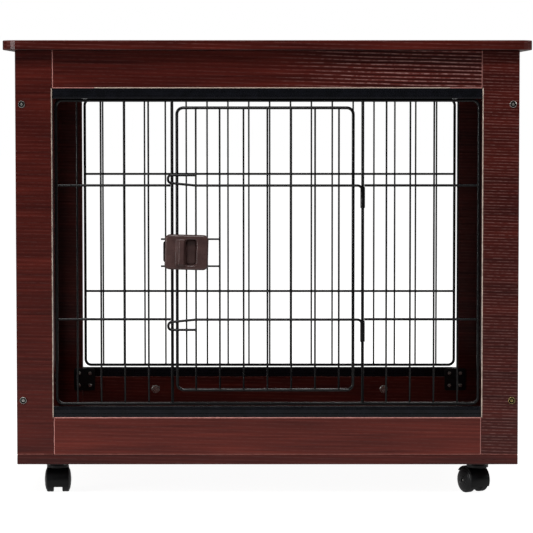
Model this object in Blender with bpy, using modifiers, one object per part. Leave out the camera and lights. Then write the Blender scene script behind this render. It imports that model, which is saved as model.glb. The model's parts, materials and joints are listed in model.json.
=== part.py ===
"""Furniture-style wire dog crate.

A case of laminated boards stands on four twin-wheel castors. Welded wire panels fill its
walls, and a wire door with a sliding latch is hinged on the front panel's right-hand jamb.

Lengths are in metres. The origin is on the floor under the middle of the crate; +X points
to the right seen from the front, +Y to the back and +Z up.
"""
import math

import bmesh
import bpy
from mathutils import Matrix, Vector

MM = 0.001
GAP = 0.3 * MM  # left between pieces that meet
SLIVER = 0.02 * MM  # edges shorter than this are closed up after a union

# Case
BODY_WIDTH = 793 * MM
BODY_DEPTH = 560 * MM
FRAME_HEIGHT = 640 * MM
BOARD = 15 * MM
STILE = 58 * MM
RAIL = 60 * MM
CHAMFER = 0.8 * MM
TOP_OVERHANG = 20 * MM
TOP_CORNER_RADIUS = 30 * MM
CASTOR_HEIGHT = 50 * MM

# Wire panels
FRAME_WIRE = 2.4 * MM  # wire sizes are radii
CROSS_WIRE = 2.0 * MM
THIN_WIRE = 1.5 * MM
ROD_WIRE = 1.5 * MM
WELD = 0.7 * MM  # how far two welded wires sink into each other
PANEL_HEIGHT = 480 * MM
PANEL_SIDE_GAP = 5 * MM
PANEL_RISE = 1 * MM  # of a panel's middle above the opening's
CROSS_WIRE_SPREAD = 106 * MM  # cross wires above and below a panel's middle
PITCH = 37.6 * MM
FRONT_OUTER_WIRES = (5, 6, 7, 8)  # in pitches from the middle
JAMB_PITCHES = 4
SIDE_WIRES = 10
LOOP_CORNER_RADIUS = 10 * MM

# Door
DOOR_LEFT = -142.6 * MM
DOOR_RIGHT = 135.3 * MM
DOOR_LOW = 167.8 * MM
DOOR_HIGH = 614.3 * MM
DOOR_WIRES = 3  # each side of the middle one
RUNNING_GAP = 0.4 * MM  # between the jambs and what passes in front of them
HOOK_REACH = 156.6 * MM
HOOK_RADIUS = 6 * MM
HOOK_RISE = 16.3 * MM
HINGE_BEND = 7 * MM
HINGE_DROP = 14 * MM
HINGE_INSET = 1.4 * MM  # from the hinge axis to the bent end of a cross wire
SLEEVE_BORE = 2.75 * MM
SLEEVE_RADIUS = 3.7 * MM
SLEEVE_LENGTH = 33 * MM
SLEEVE_DROP = 0.5 * MM

# Latch
LATCH_X = -127.4 * MM
LATCH_Z = 387 * MM
LATCH_WIDTH = 68.4 * MM
LATCH_HEIGHT = 55.3 * MM
LATCH_THICKNESS = 8.5 * MM
LATCH_CORNER_RADIUS = 7 * MM
LATCH_EDGE = 2 * MM
LATCH_TILT = math.radians(1.5)
GRIP_LEFT = -17 * MM
GRIP_RIGHT = 16 * MM
GRIP_HEIGHT = 44 * MM
GRIP_SINK = 1 * MM
GRIP_OFFSET = -1.5 * MM
RIDGE_RADIUS = 3.5 * MM
RIDGE_LIFT = 6 * MM
HOLLOW_RADIUS = 11 * MM
LIP_RADIUS = 1.6 * MM
LIP_LIFT = 4.6 * MM
ROD_SPREAD = 21.4 * MM
ROD_LEFT = -168 * MM
BOSS_LEFT = -139.8 * MM
BOSS_WIDTH = 5.6 * MM
BOSS_HEIGHT = 20 * MM
BOSS_SINK = 2 * MM
COVER_LEFT = -141 * MM
COVER_RIGHT = -97 * MM
COVER_HEIGHT = 46 * MM
COVER_THICKNESS = 3 * MM
COVER_CORNER_RADIUS = 5 * MM
COVER_GAP = 0.5 * MM
BOLT_X = -163.4 * MM
BOLT_SPREAD = 16 * MM

# Fixings
STRIP_HEIGHT = 16.5 * MM
STRIP_DEPTH = 12 * MM
STRIP_EDGE = 1 * MM
THIN_EDGE = 0.4 * MM  # chamfer of small plates and screw heads
PLATE_SIZE = (38 * MM, 1.5 * MM, 40 * MM)
PLATE_X = 335.2 * MM
PLATE_Z = 120.5 * MM
CAM_RADIUS = 7.5 * MM
CAM_HEIGHT = 1 * MM
CAM_X = 206.5 * MM
CAM_Z = 102.5 * MM
SCREW_RADIUS = 5.4 * MM
SCREW_X = 386.3 * MM
SCREW_LOW = 152 * MM
SCREW_HIGH = 620 * MM
SCREW_HEIGHT = 1.8 * MM
SOCKET_RADIUS = 2.6 * MM
SOCKET_DEPTH = 1.2 * MM

# Castors
CASTOR_X = 335 * MM
CASTOR_Y = 250 * MM
CASTOR_TURN = {"front_left": 4, "front_right": 30, "rear_left": -20, "rear_right": 14}  # degrees
TRAIL = 12 * MM
WHEEL_RADIUS = 20 * MM
WHEEL_WIDTH = 14.3 * MM
WHEEL_BORE = 2.9 * MM
AXLE_RADIUS = 2.5 * MM
WEB_WIDTH = 13.6 * MM
WEB_LOW = 10 * MM
HOOD_WIDTH = 34.6 * MM
HOOD_INNER = 21.2 * MM
HOOD_OUTER = 23 * MM
MOUNT_PLATE = 35 * MM
MOUNT_PLATE_THICKNESS = 2 * MM
HOOD_SINK = 0.5 * MM  # how far the web and the turret reach into the hood's cover
AXLE_RECESS = 1 * MM
WHEEL_GAP = 0.5 * MM

# Worked out from the above
FRAME_LOW = CASTOR_HEIGHT + BOARD
FRAME_HIGH = FRAME_LOW + FRAME_HEIGHT
OPENING_LOW = FRAME_LOW + RAIL
OPENING_HIGH = FRAME_HIGH - RAIL
HALF_OPENING = BODY_WIDTH / 2 - STILE
HALF_SIDE_DEPTH = BODY_DEPTH / 2 - BOARD
HALF_SIDE_OPENING = HALF_SIDE_DEPTH - STILE
PANEL_X = BODY_WIDTH / 2 - BOARD / 2
PANEL_Y = BODY_DEPTH / 2 - BOARD / 2
PANEL_MIDDLE = (OPENING_LOW + OPENING_HIGH) / 2 + PANEL_RISE
PANEL_LOW = PANEL_MIDDLE - PANEL_HEIGHT / 2
PANEL_HIGH = PANEL_MIDDLE + PANEL_HEIGHT / 2
HALF_PANEL = HALF_OPENING - PANEL_SIDE_GAP
HALF_SIDE_PANEL = HALF_SIDE_OPENING - PANEL_SIDE_GAP
JAMB_X = JAMB_PITCHES * PITCH
THIN_INWARD = FRAME_WIRE + THIN_WIRE - WELD
CROSS_INWARD = THIN_INWARD - (CROSS_WIRE + THIN_WIRE - WELD)
GRILLE_INWARD = FRAME_WIRE + THIN_WIRE + GAP
DOOR_CROSS = -(FRAME_WIRE + CROSS_WIRE + RUNNING_GAP)
DOOR_THIN = DOOR_CROSS + CROSS_WIRE + THIN_WIRE - WELD
DOOR_FRAME = DOOR_CROSS + CROSS_WIRE + FRAME_WIRE - WELD
ROD_DEPTH = -(FRAME_WIRE + ROD_WIRE + RUNNING_GAP)
LATCH_BACK = ROD_DEPTH - ROD_WIRE - RUNNING_GAP
COVER_FRONT = FRAME_WIRE + COVER_GAP
BOLT_DEPTH = COVER_FRONT + ROD_WIRE

UP = Vector((0, 0, 1))
ROD_PHASE = math.radians(11)  # turns a bar's flats out of line with those it crosses
FACE_FORWARD = Matrix.Rotation(math.radians(90), 4, "X")  # a flat piece's +Z turns to -Y
TURN_OVER = Matrix.Rotation(math.radians(180), 4, "X")  # its +Y turns to -Y
STAND_UP = Matrix(((0, 0, 1, 0), (1, 0, 0, 0), (0, 1, 0, 0), (0, 0, 0, 1)))  # it faces +X, X to Y


class Wall:
    """The middle plane of one wall, with its direction across and the way into the crate."""

    def __init__(self, middle, across, inward):
        self.middle = Vector(middle)
        self.across = Vector(across)
        self.inward = Vector(inward)

    def at(self, across, height, inward=0.0):
        """The point this far across, this high and this far in from the plane."""
        return self.middle + self.across * across + UP * height + self.inward * inward


FRONT = Wall((0, -PANEL_Y, 0), (1, 0, 0), (0, 1, 0))
REAR = Wall((0, PANEL_Y, 0), (1, 0, 0), (0, -1, 0))
LEFT = Wall((-PANEL_X, 0, 0), (0, 1, 0), (1, 0, 0))
RIGHT = Wall((PANEL_X, 0, 0), (0, 1, 0), (-1, 0, 0))


# ---- Scene, materials and collections ----

def clear_scene():
    """Start from an empty scene."""
    for old in list(bpy.data.objects):
        bpy.data.objects.remove(old, do_unlink=True)


def new_collection(name):
    """A collection linked to the scene."""
    collection = bpy.data.collections.new(name)
    bpy.context.scene.collection.children.link(collection)
    return collection


def new_material(name, colour, roughness, metallic=0.0):
    """A Principled material; colour is linear RGB."""
    material = bpy.data.materials.new(name)
    material.use_nodes = True
    shader = material.node_tree.nodes["Principled BSDF"]
    shader.inputs["Base Color"].default_value = (*colour, 1.0)
    shader.inputs["Roughness"].default_value = roughness
    shader.inputs["Metallic"].default_value = metallic
    return material


clear_scene()
CRATE = new_collection("wire_dog_crate")
TOOLS = new_collection("cutters_and_joined_wires")
CHERRY = new_material("cherry_laminate", (0.065, 0.011, 0.009), 0.4)
BLACK_WIRE = new_material("black_powder_coat", (0.012, 0.012, 0.013), 0.35, 0.4)
BLACK_PLASTIC = new_material("black_plastic", (0.013, 0.013, 0.014), 0.5)
BROWN_PLASTIC = new_material("brown_plastic", (0.068, 0.038, 0.038), 0.45)
STEEL = new_material("zinc_steel", (0.55, 0.55, 0.57), 0.3, 1.0)
BRASS = new_material("brass", (0.6, 0.42, 0.17), 0.3, 1.0)


def move_to(piece, collection):
    """Keep the piece in this collection only."""
    for holder in list(piece.users_collection):
        holder.objects.unlink(piece)
    collection.objects.link(piece)


def finished(piece, name, material):
    """Name the piece, give it its material and put it in the crate."""
    piece.name = name
    piece.data.name = name
    piece.data.materials.clear()
    piece.data.materials.append(material)
    move_to(piece, CRATE)
    return piece


def as_tool(piece, collection=None):
    """Keep the piece as a guide that isn't part of the crate."""
    piece.hide_render = True
    piece.display_type = "WIRE"
    move_to(piece, collection or TOOLS)
    return piece


# ---- Shapes ----

def box(low, high):
    """Box between two corners."""
    low, high = Vector(low), Vector(high)
    bpy.ops.mesh.primitive_cube_add(size=1.0, location=(low + high) / 2)
    piece = bpy.context.object
    piece.scale = high - low
    bpy.ops.object.transform_apply(location=False, rotation=False, scale=True)
    return piece


def rod(start, end, radius, sides):
    """Straight round bar between two points."""
    start, end = Vector(start), Vector(end)
    mesh = bpy.data.meshes.new("rod")
    shape = bmesh.new()
    length = (end - start).length
    bmesh.ops.create_cone(shape, cap_ends=True, segments=sides, radius1=radius, radius2=radius, depth=length)
    turn = UP.rotation_difference(end - start).to_matrix().to_4x4() @ Matrix.Rotation(ROD_PHASE, 4, "Z")
    bmesh.ops.transform(shape, matrix=turn, verts=shape.verts)
    shape.to_mesh(mesh)
    shape.free()
    piece = bpy.data.objects.new("rod", mesh)
    piece.location = (start + end) / 2
    TOOLS.objects.link(piece)
    return piece


def mesh_of(holder):
    """Turn a curve object into a closed mesh object in the same place."""
    TOOLS.objects.link(holder)
    bpy.context.view_layer.update()
    evaluated = holder.evaluated_get(bpy.context.evaluated_depsgraph_get())
    mesh = bpy.data.meshes.new_from_object(evaluated)
    shape = bmesh.new()
    shape.from_mesh(mesh)
    bmesh.ops.remove_doubles(shape, verts=shape.verts, dist=0.01 * MM)
    shape.to_mesh(mesh)
    shape.free()
    piece = bpy.data.objects.new(holder.name, mesh)
    piece.matrix_world = holder.matrix_world
    TOOLS.objects.link(piece)
    bpy.data.objects.remove(holder, do_unlink=True)
    return piece


def spline_through(curve, points, closed):
    """Add one run of straight lines through the points."""
    spline = curve.splines.new("POLY")
    spline.points.add(len(points) - 1)
    for knot, point in zip(spline.points, points):
        knot.co = (*point, 1.0)
    spline.use_cyclic_u = closed


def wire(points, radius, sides=6, closed=False):
    """Round wire through the points, as a mesh."""
    curve = bpy.data.curves.new("wire", "CURVE")
    curve.dimensions = "3D"
    curve.bevel_depth = radius
    curve.bevel_resolution = (sides - 4) // 2
    curve.use_fill_caps = True
    spline_through(curve, points, closed)
    return mesh_of(bpy.data.objects.new("wire", curve))


def slab(outline, thickness, turn=Matrix.Identity(4)):
    """Flat piece with this outline, as a mesh whose middle is at the origin."""
    curve = bpy.data.curves.new("slab", "CURVE")
    curve.dimensions = "2D"
    curve.fill_mode = "BOTH"
    curve.extrude = thickness / 2
    spline_through(curve, [(x, y, 0.0) for x, y in outline], closed=True)
    piece = mesh_of(bpy.data.objects.new("slab", curve))
    piece.data.transform(turn)
    return piece


def arc(centre, radius, start, end, steps):
    """Points along an arc; angles in degrees, counter-clockwise from +X."""
    angles = [math.radians(start + (end - start) * i / steps) for i in range(steps + 1)]
    return [(centre[0] + radius * math.cos(a), centre[1] + radius * math.sin(a)) for a in angles]


def rounded_rectangle(left, right, low, high, radius, steps=3):
    """Outline of a rectangle with round corners."""
    return (
        arc((right - radius, high - radius), radius, 0, 90, steps)
        + arc((left + radius, high - radius), radius, 90, 180, steps)
        + arc((left + radius, low + radius), radius, 180, 270, steps)
        + arc((right - radius, low + radius), radius, 270, 360, steps)
    )


def turned(profile, steps):
    """Solid of revolution about Z from (radius, height) points, top to bottom outside."""
    mesh = bpy.data.meshes.new("turned")
    count = len(profile)
    edges = [(i, (i + 1) % count) for i in range(count)]
    mesh.from_pydata([(r, 0.0, z) for r, z in profile], edges, [])
    piece = bpy.data.objects.new("turned", mesh)
    TOOLS.objects.link(piece)
    screw = piece.modifiers.new("turn", "SCREW")
    screw.axis = "Z"
    screw.steps = steps
    screw.render_steps = steps
    screw.use_merge_vertices = True
    screw.merge_threshold = 0.01 * MM
    return piece


def bevelled(piece, width, segments=1):
    """Round or chamfer the piece's sharp edges."""
    bevel = piece.modifiers.new("edges", "BEVEL")
    bevel.width = width
    bevel.segments = segments
    bevel.limit_method = "ANGLE"
    bevel.angle_limit = math.radians(50)
    return piece


def joined(pieces, origin=(0, 0, 0)):
    """One body from pieces that sink into each other; the first keeps the others as guides."""
    base, *others = pieces
    group = bpy.data.collections.new("joined_pieces")
    TOOLS.children.link(group)
    for other in others:
        as_tool(other, group)
    shift = Vector(origin) - base.location
    base.data.transform(Matrix.Translation(-shift))
    base.location = origin
    union = base.modifiers.new("weld", "BOOLEAN")
    union.operation = "UNION"
    union.solver = "EXACT"
    union.operand_type = "COLLECTION"
    union.collection = group
    tidy = base.modifiers.new("tidy", "WELD")  # takes out the slivers where wires cross
    tidy.merge_threshold = SLIVER
    return base


def cut(piece, cutter):
    """Cut the cutter's shape out of the piece."""
    difference = piece.modifiers.new("cut", "BOOLEAN")
    difference.operation = "DIFFERENCE"
    difference.solver = "EXACT"
    difference.object = as_tool(cutter)
    return piece


def smooth(piece):
    """Shade a round mesh smooth, with its corners kept sharp."""
    piece.data.shade_smooth()
    piece.data.set_sharp_from_angle(angle=math.radians(35))
    return piece


def pivot(name, location, turn=0.0, parent=None):
    """Empty that stands on a joint's axis."""
    empty = bpy.data.objects.new(name, None)
    empty.location = location
    empty.rotation_euler = (0, 0, turn)
    empty.empty_display_size = 30 * MM
    empty.parent = parent
    CRATE.objects.link(empty)
    return empty


def hang(piece, parent, offset=(0, 0, 0)):
    """Parent the piece to a pivot, with its place taken from the pivot."""
    piece.parent = parent
    piece.location = Vector(piece.location) - Vector(offset)
    return piece


# ---- Boards ----

def board(name, low, high):
    """Laminated board between two corners, with a fine chamfer all round."""
    return finished(bevelled(box(low, high), CHAMFER), name, CHERRY)


def make_top_and_bottom():
    """Top board with round corners, and the bottom board."""
    half_w, half_d = BODY_WIDTH / 2, BODY_DEPTH / 2
    outline = rounded_rectangle(
        -half_w - TOP_OVERHANG, half_w + TOP_OVERHANG, -half_d - TOP_OVERHANG, half_d + TOP_OVERHANG,
        TOP_CORNER_RADIUS, steps=6,
    )
    top = finished(bevelled(slab(outline, BOARD), CHAMFER), "top_board", CHERRY)
    top.location = (0, 0, FRAME_HIGH + BOARD / 2)
    board("bottom_board", (-half_w, -half_d, CASTOR_HEIGHT), (half_w, half_d, FRAME_LOW))


def make_cross_frame(place, front_y, back_y):
    """Front or rear frame: two full-height stiles with two rails between them."""
    half_w = BODY_WIDTH / 2
    low, high = FRAME_LOW + GAP, FRAME_HIGH - GAP
    board(f"{place}_left_stile", (-half_w, front_y, low), (-HALF_OPENING, back_y, high))
    board(f"{place}_right_stile", (HALF_OPENING, front_y, low), (half_w, back_y, high))
    rail_x = HALF_OPENING - GAP
    board(f"{place}_bottom_rail", (-rail_x, front_y, low), (rail_x, back_y, OPENING_LOW))
    board(f"{place}_top_rail", (-rail_x, front_y, OPENING_HIGH), (rail_x, back_y, high))


def make_side_frame(place, side):
    """Left or right frame, between the front and rear frames."""
    edges = sorted((side * BODY_WIDTH / 2, side * (BODY_WIDTH / 2 - BOARD)))
    low, high = FRAME_LOW + GAP, FRAME_HIGH - GAP
    end, inner = HALF_SIDE_DEPTH - GAP, HALF_SIDE_OPENING
    board(f"{place}_front_stile", (edges[0], -end, low), (edges[1], -inner, high))
    board(f"{place}_rear_stile", (edges[0], inner, low), (edges[1], end, high))
    rail_y = inner - GAP
    board(f"{place}_bottom_rail", (edges[0], -rail_y, low), (edges[1], rail_y, OPENING_LOW))
    board(f"{place}_top_rail", (edges[0], -rail_y, OPENING_HIGH), (edges[1], rail_y, high))


# ---- Wire panels ----

def loop(wall, left, right, low, high, inward=0.0):
    """Closed frame of thick wire with bent corners."""
    outline = rounded_rectangle(left, right, low, high, LOOP_CORNER_RADIUS)
    points = [wall.at(across, height, inward) for across, height in outline]
    return wire(points, FRAME_WIRE, sides=8, closed=True)


def upright(wall, across, low, high, radius, inward):
    """Vertical wire of a panel."""
    return rod(wall.at(across, low, inward), wall.at(across, high, inward), radius, 6)


def cross_wires(wall, left, right, inward):
    """The two horizontal wires of a panel."""
    heights = (PANEL_MIDDLE - CROSS_WIRE_SPREAD, PANEL_MIDDLE + CROSS_WIRE_SPREAD)
    return [rod(wall.at(left, z, inward), wall.at(right, z, inward), CROSS_WIRE, 8) for z in heights]


def make_plain_panel(name, wall, half_width, places):
    """Panel with a loop of thick wire, thin uprights and two cross wires."""
    pieces = [loop(wall, -half_width, half_width, PANEL_LOW, PANEL_HIGH)]
    pieces += cross_wires(wall, -half_width, half_width, CROSS_INWARD)
    for across in places:
        pieces.append(upright(wall, across, PANEL_LOW, PANEL_HIGH, THIN_WIRE, THIN_INWARD))
    finished(joined(pieces), name, BLACK_WIRE)


def make_front_frame_wire():
    """The front panel's loop with the two jambs of the doorway."""
    pieces = [loop(FRONT, -HALF_PANEL, HALF_PANEL, PANEL_LOW, PANEL_HIGH)]
    for across in (-JAMB_X, JAMB_X):
        ends = FRONT.at(across, PANEL_LOW), FRONT.at(across, PANEL_HIGH)
        pieces.append(rod(*ends, FRAME_WIRE, 8))
    finished(joined(pieces), "front_panel_frame", BLACK_WIRE)


def make_front_grille(place, side):
    """Grille between the front loop and a jamb, just behind the thick wires."""
    edges = sorted((side * (JAMB_X + FRAME_WIRE + GAP), side * (HALF_PANEL - FRAME_WIRE - GAP)))
    inward = GRILLE_INWARD - (CROSS_WIRE + THIN_WIRE - WELD)
    pieces = cross_wires(FRONT, *edges, inward)
    for count in FRONT_OUTER_WIRES:
        across = side * count * PITCH
        pieces.append(upright(FRONT, across, PANEL_LOW, PANEL_HIGH, THIN_WIRE, GRILLE_INWARD))
    finished(joined(pieces), f"front_{place}_grille", BLACK_WIRE)


# ---- Door ----

def hooked_cross_wire(height, side):
    """Door's cross wire: stop hook at the left, hinge bend at the right.

    side is +1 where the hook turns up and -1 where it turns down.
    """
    root = -DOOR_WIRES * PITCH
    turn = arc((-HOOK_REACH, HOOK_RISE - HOOK_RADIUS), HOOK_RADIUS, 90, 270, 6)
    hook = [(root, HOOK_RISE)] + turn + [(root, 0.0)]
    end = JAMB_X - HINGE_INSET
    bend = arc((end - HINGE_BEND, -HINGE_BEND), HINGE_BEND, 90, 0, 4) + [(end, -HINGE_DROP)]
    outline = [(x, height + side * rise) for x, rise in hook] + [(x, height + drop) for x, drop in bend]
    points = [FRONT.at(x, z, DOOR_CROSS) for x, z in outline]
    return wire(points, CROSS_WIRE)


def hinge_sleeve(height):
    """Short tube round the right jamb, below a cross wire."""
    top = height - CROSS_WIRE - SLEEVE_DROP
    half = SLEEVE_LENGTH / 2
    profile = ((SLEEVE_BORE, half), (SLEEVE_RADIUS, half), (SLEEVE_RADIUS, -half), (SLEEVE_BORE, -half))
    sleeve = turned(profile, 12)
    sleeve.location = FRONT.at(JAMB_X, top - half)
    return sleeve


def make_door():
    """Wire door, with its origin on the hinge axis."""
    hinge = FRONT.at(JAMB_X, 0.0)
    pieces = [loop(FRONT, DOOR_LEFT, DOOR_RIGHT, DOOR_LOW, DOOR_HIGH, DOOR_FRAME)]
    for count in range(-DOOR_WIRES, DOOR_WIRES + 1):
        pieces.append(upright(FRONT, count * PITCH, DOOR_LOW, DOOR_HIGH, THIN_WIRE, DOOR_THIN))
    for side in (-1, 1):
        height = PANEL_MIDDLE + side * CROSS_WIRE_SPREAD
        pieces += [hooked_cross_wire(height, side), hinge_sleeve(height)]
        ends = [FRONT.at(x, PANEL_MIDDLE + side * ROD_SPREAD, ROD_DEPTH) for x in (ROD_LEFT, -2 * PITCH)]
        pieces.append(rod(*ends, ROD_WIRE, 6))
    axis = pivot("door_hinge_axis", hinge)
    door = finished(joined(pieces, hinge), "door", BLACK_WIRE)
    hang(door, axis, hinge)
    return axis, hinge


# ---- Latch ----

def grip_outline():
    """Plan of the thumb grip: a ridge at its left and a hollow falling away to its right."""
    ridge = arc((GRIP_LEFT + RIDGE_RADIUS, RIDGE_LIFT), RIDGE_RADIUS, 180, 70, 4)
    hollow_x = GRIP_LEFT + RIDGE_RADIUS + 1.55 * HOLLOW_RADIUS
    hollow = arc((hollow_x, RIDGE_LIFT + RIDGE_RADIUS + LIP_RADIUS * 2), HOLLOW_RADIUS, 215, 305, 6)
    lip = arc((GRIP_RIGHT - LIP_RADIUS, LIP_LIFT), LIP_RADIUS, 120, 0, 3)
    return [(GRIP_LEFT, -GRIP_SINK)] + ridge + hollow + lip + [(GRIP_RIGHT, -GRIP_SINK)]


def make_latch_housing():
    """Housing in front of the door's wires, with a thumb grip and a boss between the wires."""
    back = -PANEL_Y + LATCH_BACK
    half_w, half_h = LATCH_WIDTH / 2, LATCH_HEIGHT / 2
    outline = rounded_rectangle(-half_w, half_w, -half_h, half_h, LATCH_CORNER_RADIUS)
    tilt = Matrix.Rotation(LATCH_TILT, 4, "Y")
    case = bevelled(slab(outline, LATCH_THICKNESS, tilt @ FACE_FORWARD), LATCH_EDGE, 2)
    case.location = (LATCH_X, back - LATCH_THICKNESS / 2, LATCH_Z)
    grip = slab(grip_outline(), GRIP_HEIGHT, tilt @ TURN_OVER)
    grip.location = (LATCH_X + GRIP_OFFSET, back - LATCH_THICKNESS, LATCH_Z)
    low, high = LATCH_Z - BOSS_HEIGHT / 2, LATCH_Z + BOSS_HEIGHT / 2
    boss_back = -PANEL_Y + COVER_FRONT - GAP
    boss = box((BOSS_LEFT, back - BOSS_SINK, low), (BOSS_LEFT + BOSS_WIDTH, boss_back, high))
    return finished(joined([case, grip, boss]), "latch_housing", BROWN_PLASTIC)


def make_latch_cover():
    """Flat cover that clamps the housing from behind the wires."""
    half = COVER_HEIGHT / 2
    outline = rounded_rectangle(COVER_LEFT, COVER_RIGHT, -half, half, COVER_CORNER_RADIUS)
    cover = slab(outline, COVER_THICKNESS, FACE_FORWARD)
    cover.location = FRONT.at(0, LATCH_Z, COVER_FRONT + COVER_THICKNESS / 2)
    return finished(cover, "latch_rear_cover", BROWN_PLASTIC)


def make_latch_bolt():
    """U-shaped bolt of round bar, whose legs end at the cover."""
    root = COVER_LEFT - GAP
    legs = [(root, BOLT_SPREAD), (BOLT_X, BOLT_SPREAD), (BOLT_X, -BOLT_SPREAD), (root, -BOLT_SPREAD)]
    points = [FRONT.at(x, LATCH_Z + rise, BOLT_DEPTH) for x, rise in legs]
    return finished(wire(points, ROD_WIRE), "latch_bolt", BLACK_WIRE)


# ---- Fixings ----

def make_strips():
    """Black channels along the rails' inner edges, front and rear."""
    end = HALF_OPENING - GAP
    for place, y in (("front", -PANEL_Y), ("rear", PANEL_Y)):
        edges = y - STRIP_DEPTH / 2, y + STRIP_DEPTH / 2
        levels = (
            ("bottom", OPENING_LOW + GAP, OPENING_LOW + STRIP_HEIGHT),
            ("top", OPENING_HIGH - STRIP_HEIGHT, OPENING_HIGH - GAP),
        )
        for level, low, high in levels:
            strip = bevelled(box((-end, edges[0], low), (end, edges[1], high)), STRIP_EDGE)
            finished(strip, f"{place}_{level}_strip", BLACK_PLASTIC)


def make_corner_plates():
    """Black plates over the rear frame's lower joints."""
    size = Vector(PLATE_SIZE)
    for place, side in (("left", -1), ("right", 1)):
        back = Vector((side * PLATE_X, BODY_DEPTH / 2 - BOARD - GAP - size.y / 2, PLATE_Z))
        plate = bevelled(box(back - size / 2, back + size / 2), THIN_EDGE)
        finished(plate, f"rear_{place}_corner_plate", BLACK_PLASTIC)


def make_cam_locks():
    """Zinc cams let into the rear bottom rail."""
    back = BODY_DEPTH / 2 - BOARD - GAP
    for place, side in (("left", -1), ("right", 1)):
        x = side * CAM_X
        cam = rod((x, back - CAM_HEIGHT, CAM_Z), (x, back, CAM_Z), CAM_RADIUS, 20)
        finished(smooth(cam), f"cam_lock_{place}", STEEL)


def make_frame_screw(name, x, z, material):
    """Socket-head screw on the front frame."""
    seat = -BODY_DEPTH / 2 - GAP
    face = seat - SCREW_HEIGHT
    head = bevelled(rod((x, seat, z), (x, face, z), SCREW_RADIUS, 20), THIN_EDGE)
    socket = rod((x, face + SOCKET_DEPTH, z), (x, face - SOCKET_DEPTH, z), SOCKET_RADIUS, 6)
    finished(cut(head, socket), name, material)


def make_frame_screws():
    """Four screws; the lower right one is brass."""
    for place, x in (("left", -SCREW_X), ("right", SCREW_X)):
        for level, z in (("lower", SCREW_LOW), ("upper", SCREW_HIGH)):
            brass = place == "right" and level == "lower"
            make_frame_screw(f"frame_screw_{level}_{place}", x, z, BRASS if brass else STEEL)


# ---- Castors ----

def hood_web():
    """Plate between the wheels, from the swivel down to the axle."""
    axle = (TRAIL, WHEEL_RADIUS)
    low = arc(axle, WHEEL_RADIUS - WEB_LOW, 180, 360, 8)
    high = arc(axle, HOOD_INNER + HOOD_SINK, 30, 165, 8)
    return slab(low + high, WEB_WIDTH, STAND_UP)


def hood_fender():
    """Curved cover over the wheels, from the back of the top to low down in front."""
    axle = (TRAIL, WHEEL_RADIUS)
    outline = arc(axle, HOOD_OUTER, 40, 205, 12) + arc(axle, HOOD_INNER, 205, 40, 12)
    return slab(outline, HOOD_WIDTH, STAND_UP)


def wheel_profile():
    """Half section of a wheel; height 0 is its inner face and the outer face is domed."""
    tread = ((18.6, 10.8), (20, 9.6), (20, 1.2), (18.8, 0))
    dome = ((8, 13.9), (14, 12.6))
    points = [(WHEEL_BORE, WHEEL_WIDTH)] + [(r * MM, z * MM) for r, z in dome + tread]
    return points + [(WHEEL_BORE, 0.0)]


def make_mount_plate(place, x, y):
    """Castor's plate under the bottom board; returns the height of its lower face."""
    half = MOUNT_PLATE / 2
    top = CASTOR_HEIGHT - GAP
    low = top - MOUNT_PLATE_THICKNESS
    plate = bevelled(box((x - half, y - half, low), (x + half, y + half, top)), THIN_EDGE)
    finished(plate, f"castor_plate_{place}", BLACK_PLASTIC)
    return low


def make_hood(place, axis, top):
    """Castor's hood: cover, web and turret in one, with a bore for the axle in the web."""
    cover, web = hood_fender(), hood_web()
    low = WHEEL_RADIUS + HOOD_INNER + HOOD_SINK
    turret = rod((0, 0, low), (0, 0, top), HOOD_WIDTH / 2, 20)
    half = HOOD_WIDTH / 2
    bore = rod((-half, TRAIL, WHEEL_RADIUS), (half, TRAIL, WHEEL_RADIUS), AXLE_RADIUS + GAP, 12)
    cut(web, bore)
    for piece in (web, turret, bore):
        piece.parent = axis
    finished(joined([cover, web, turret]), f"castor_hood_{place}", BLACK_PLASTIC).parent = axis


def make_castor(place, x_side, y_side):
    """Swivel castor: plate under the board, hood on the swivel, two wheels on one axle."""
    x, y = x_side * CASTOR_X, y_side * CASTOR_Y
    under_plate = make_mount_plate(place, x, y)
    axis = pivot(f"castor_swivel_{place}", (x, y, 0), math.radians(CASTOR_TURN[place]))
    make_hood(place, axis, under_plate - GAP)
    reach = WEB_WIDTH / 2 + WHEEL_WIDTH - AXLE_RECESS
    axle = rod((-reach, TRAIL, WHEEL_RADIUS), (reach, TRAIL, WHEEL_RADIUS), AXLE_RADIUS, 12)
    finished(smooth(axle), f"castor_axle_{place}", STEEL).parent = axis
    for side_name, side in (("left", -1), ("right", 1)):
        wheel = turned(wheel_profile(), 24)
        wheel.rotation_euler = (0, side * math.radians(90), 0)
        wheel.location = (side * (WEB_WIDTH / 2 + WHEEL_GAP), TRAIL, WHEEL_RADIUS)
        wheel.parent = axis
        finished(wheel, f"wheel_{place}_{side_name}", BLACK_PLASTIC)


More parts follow.
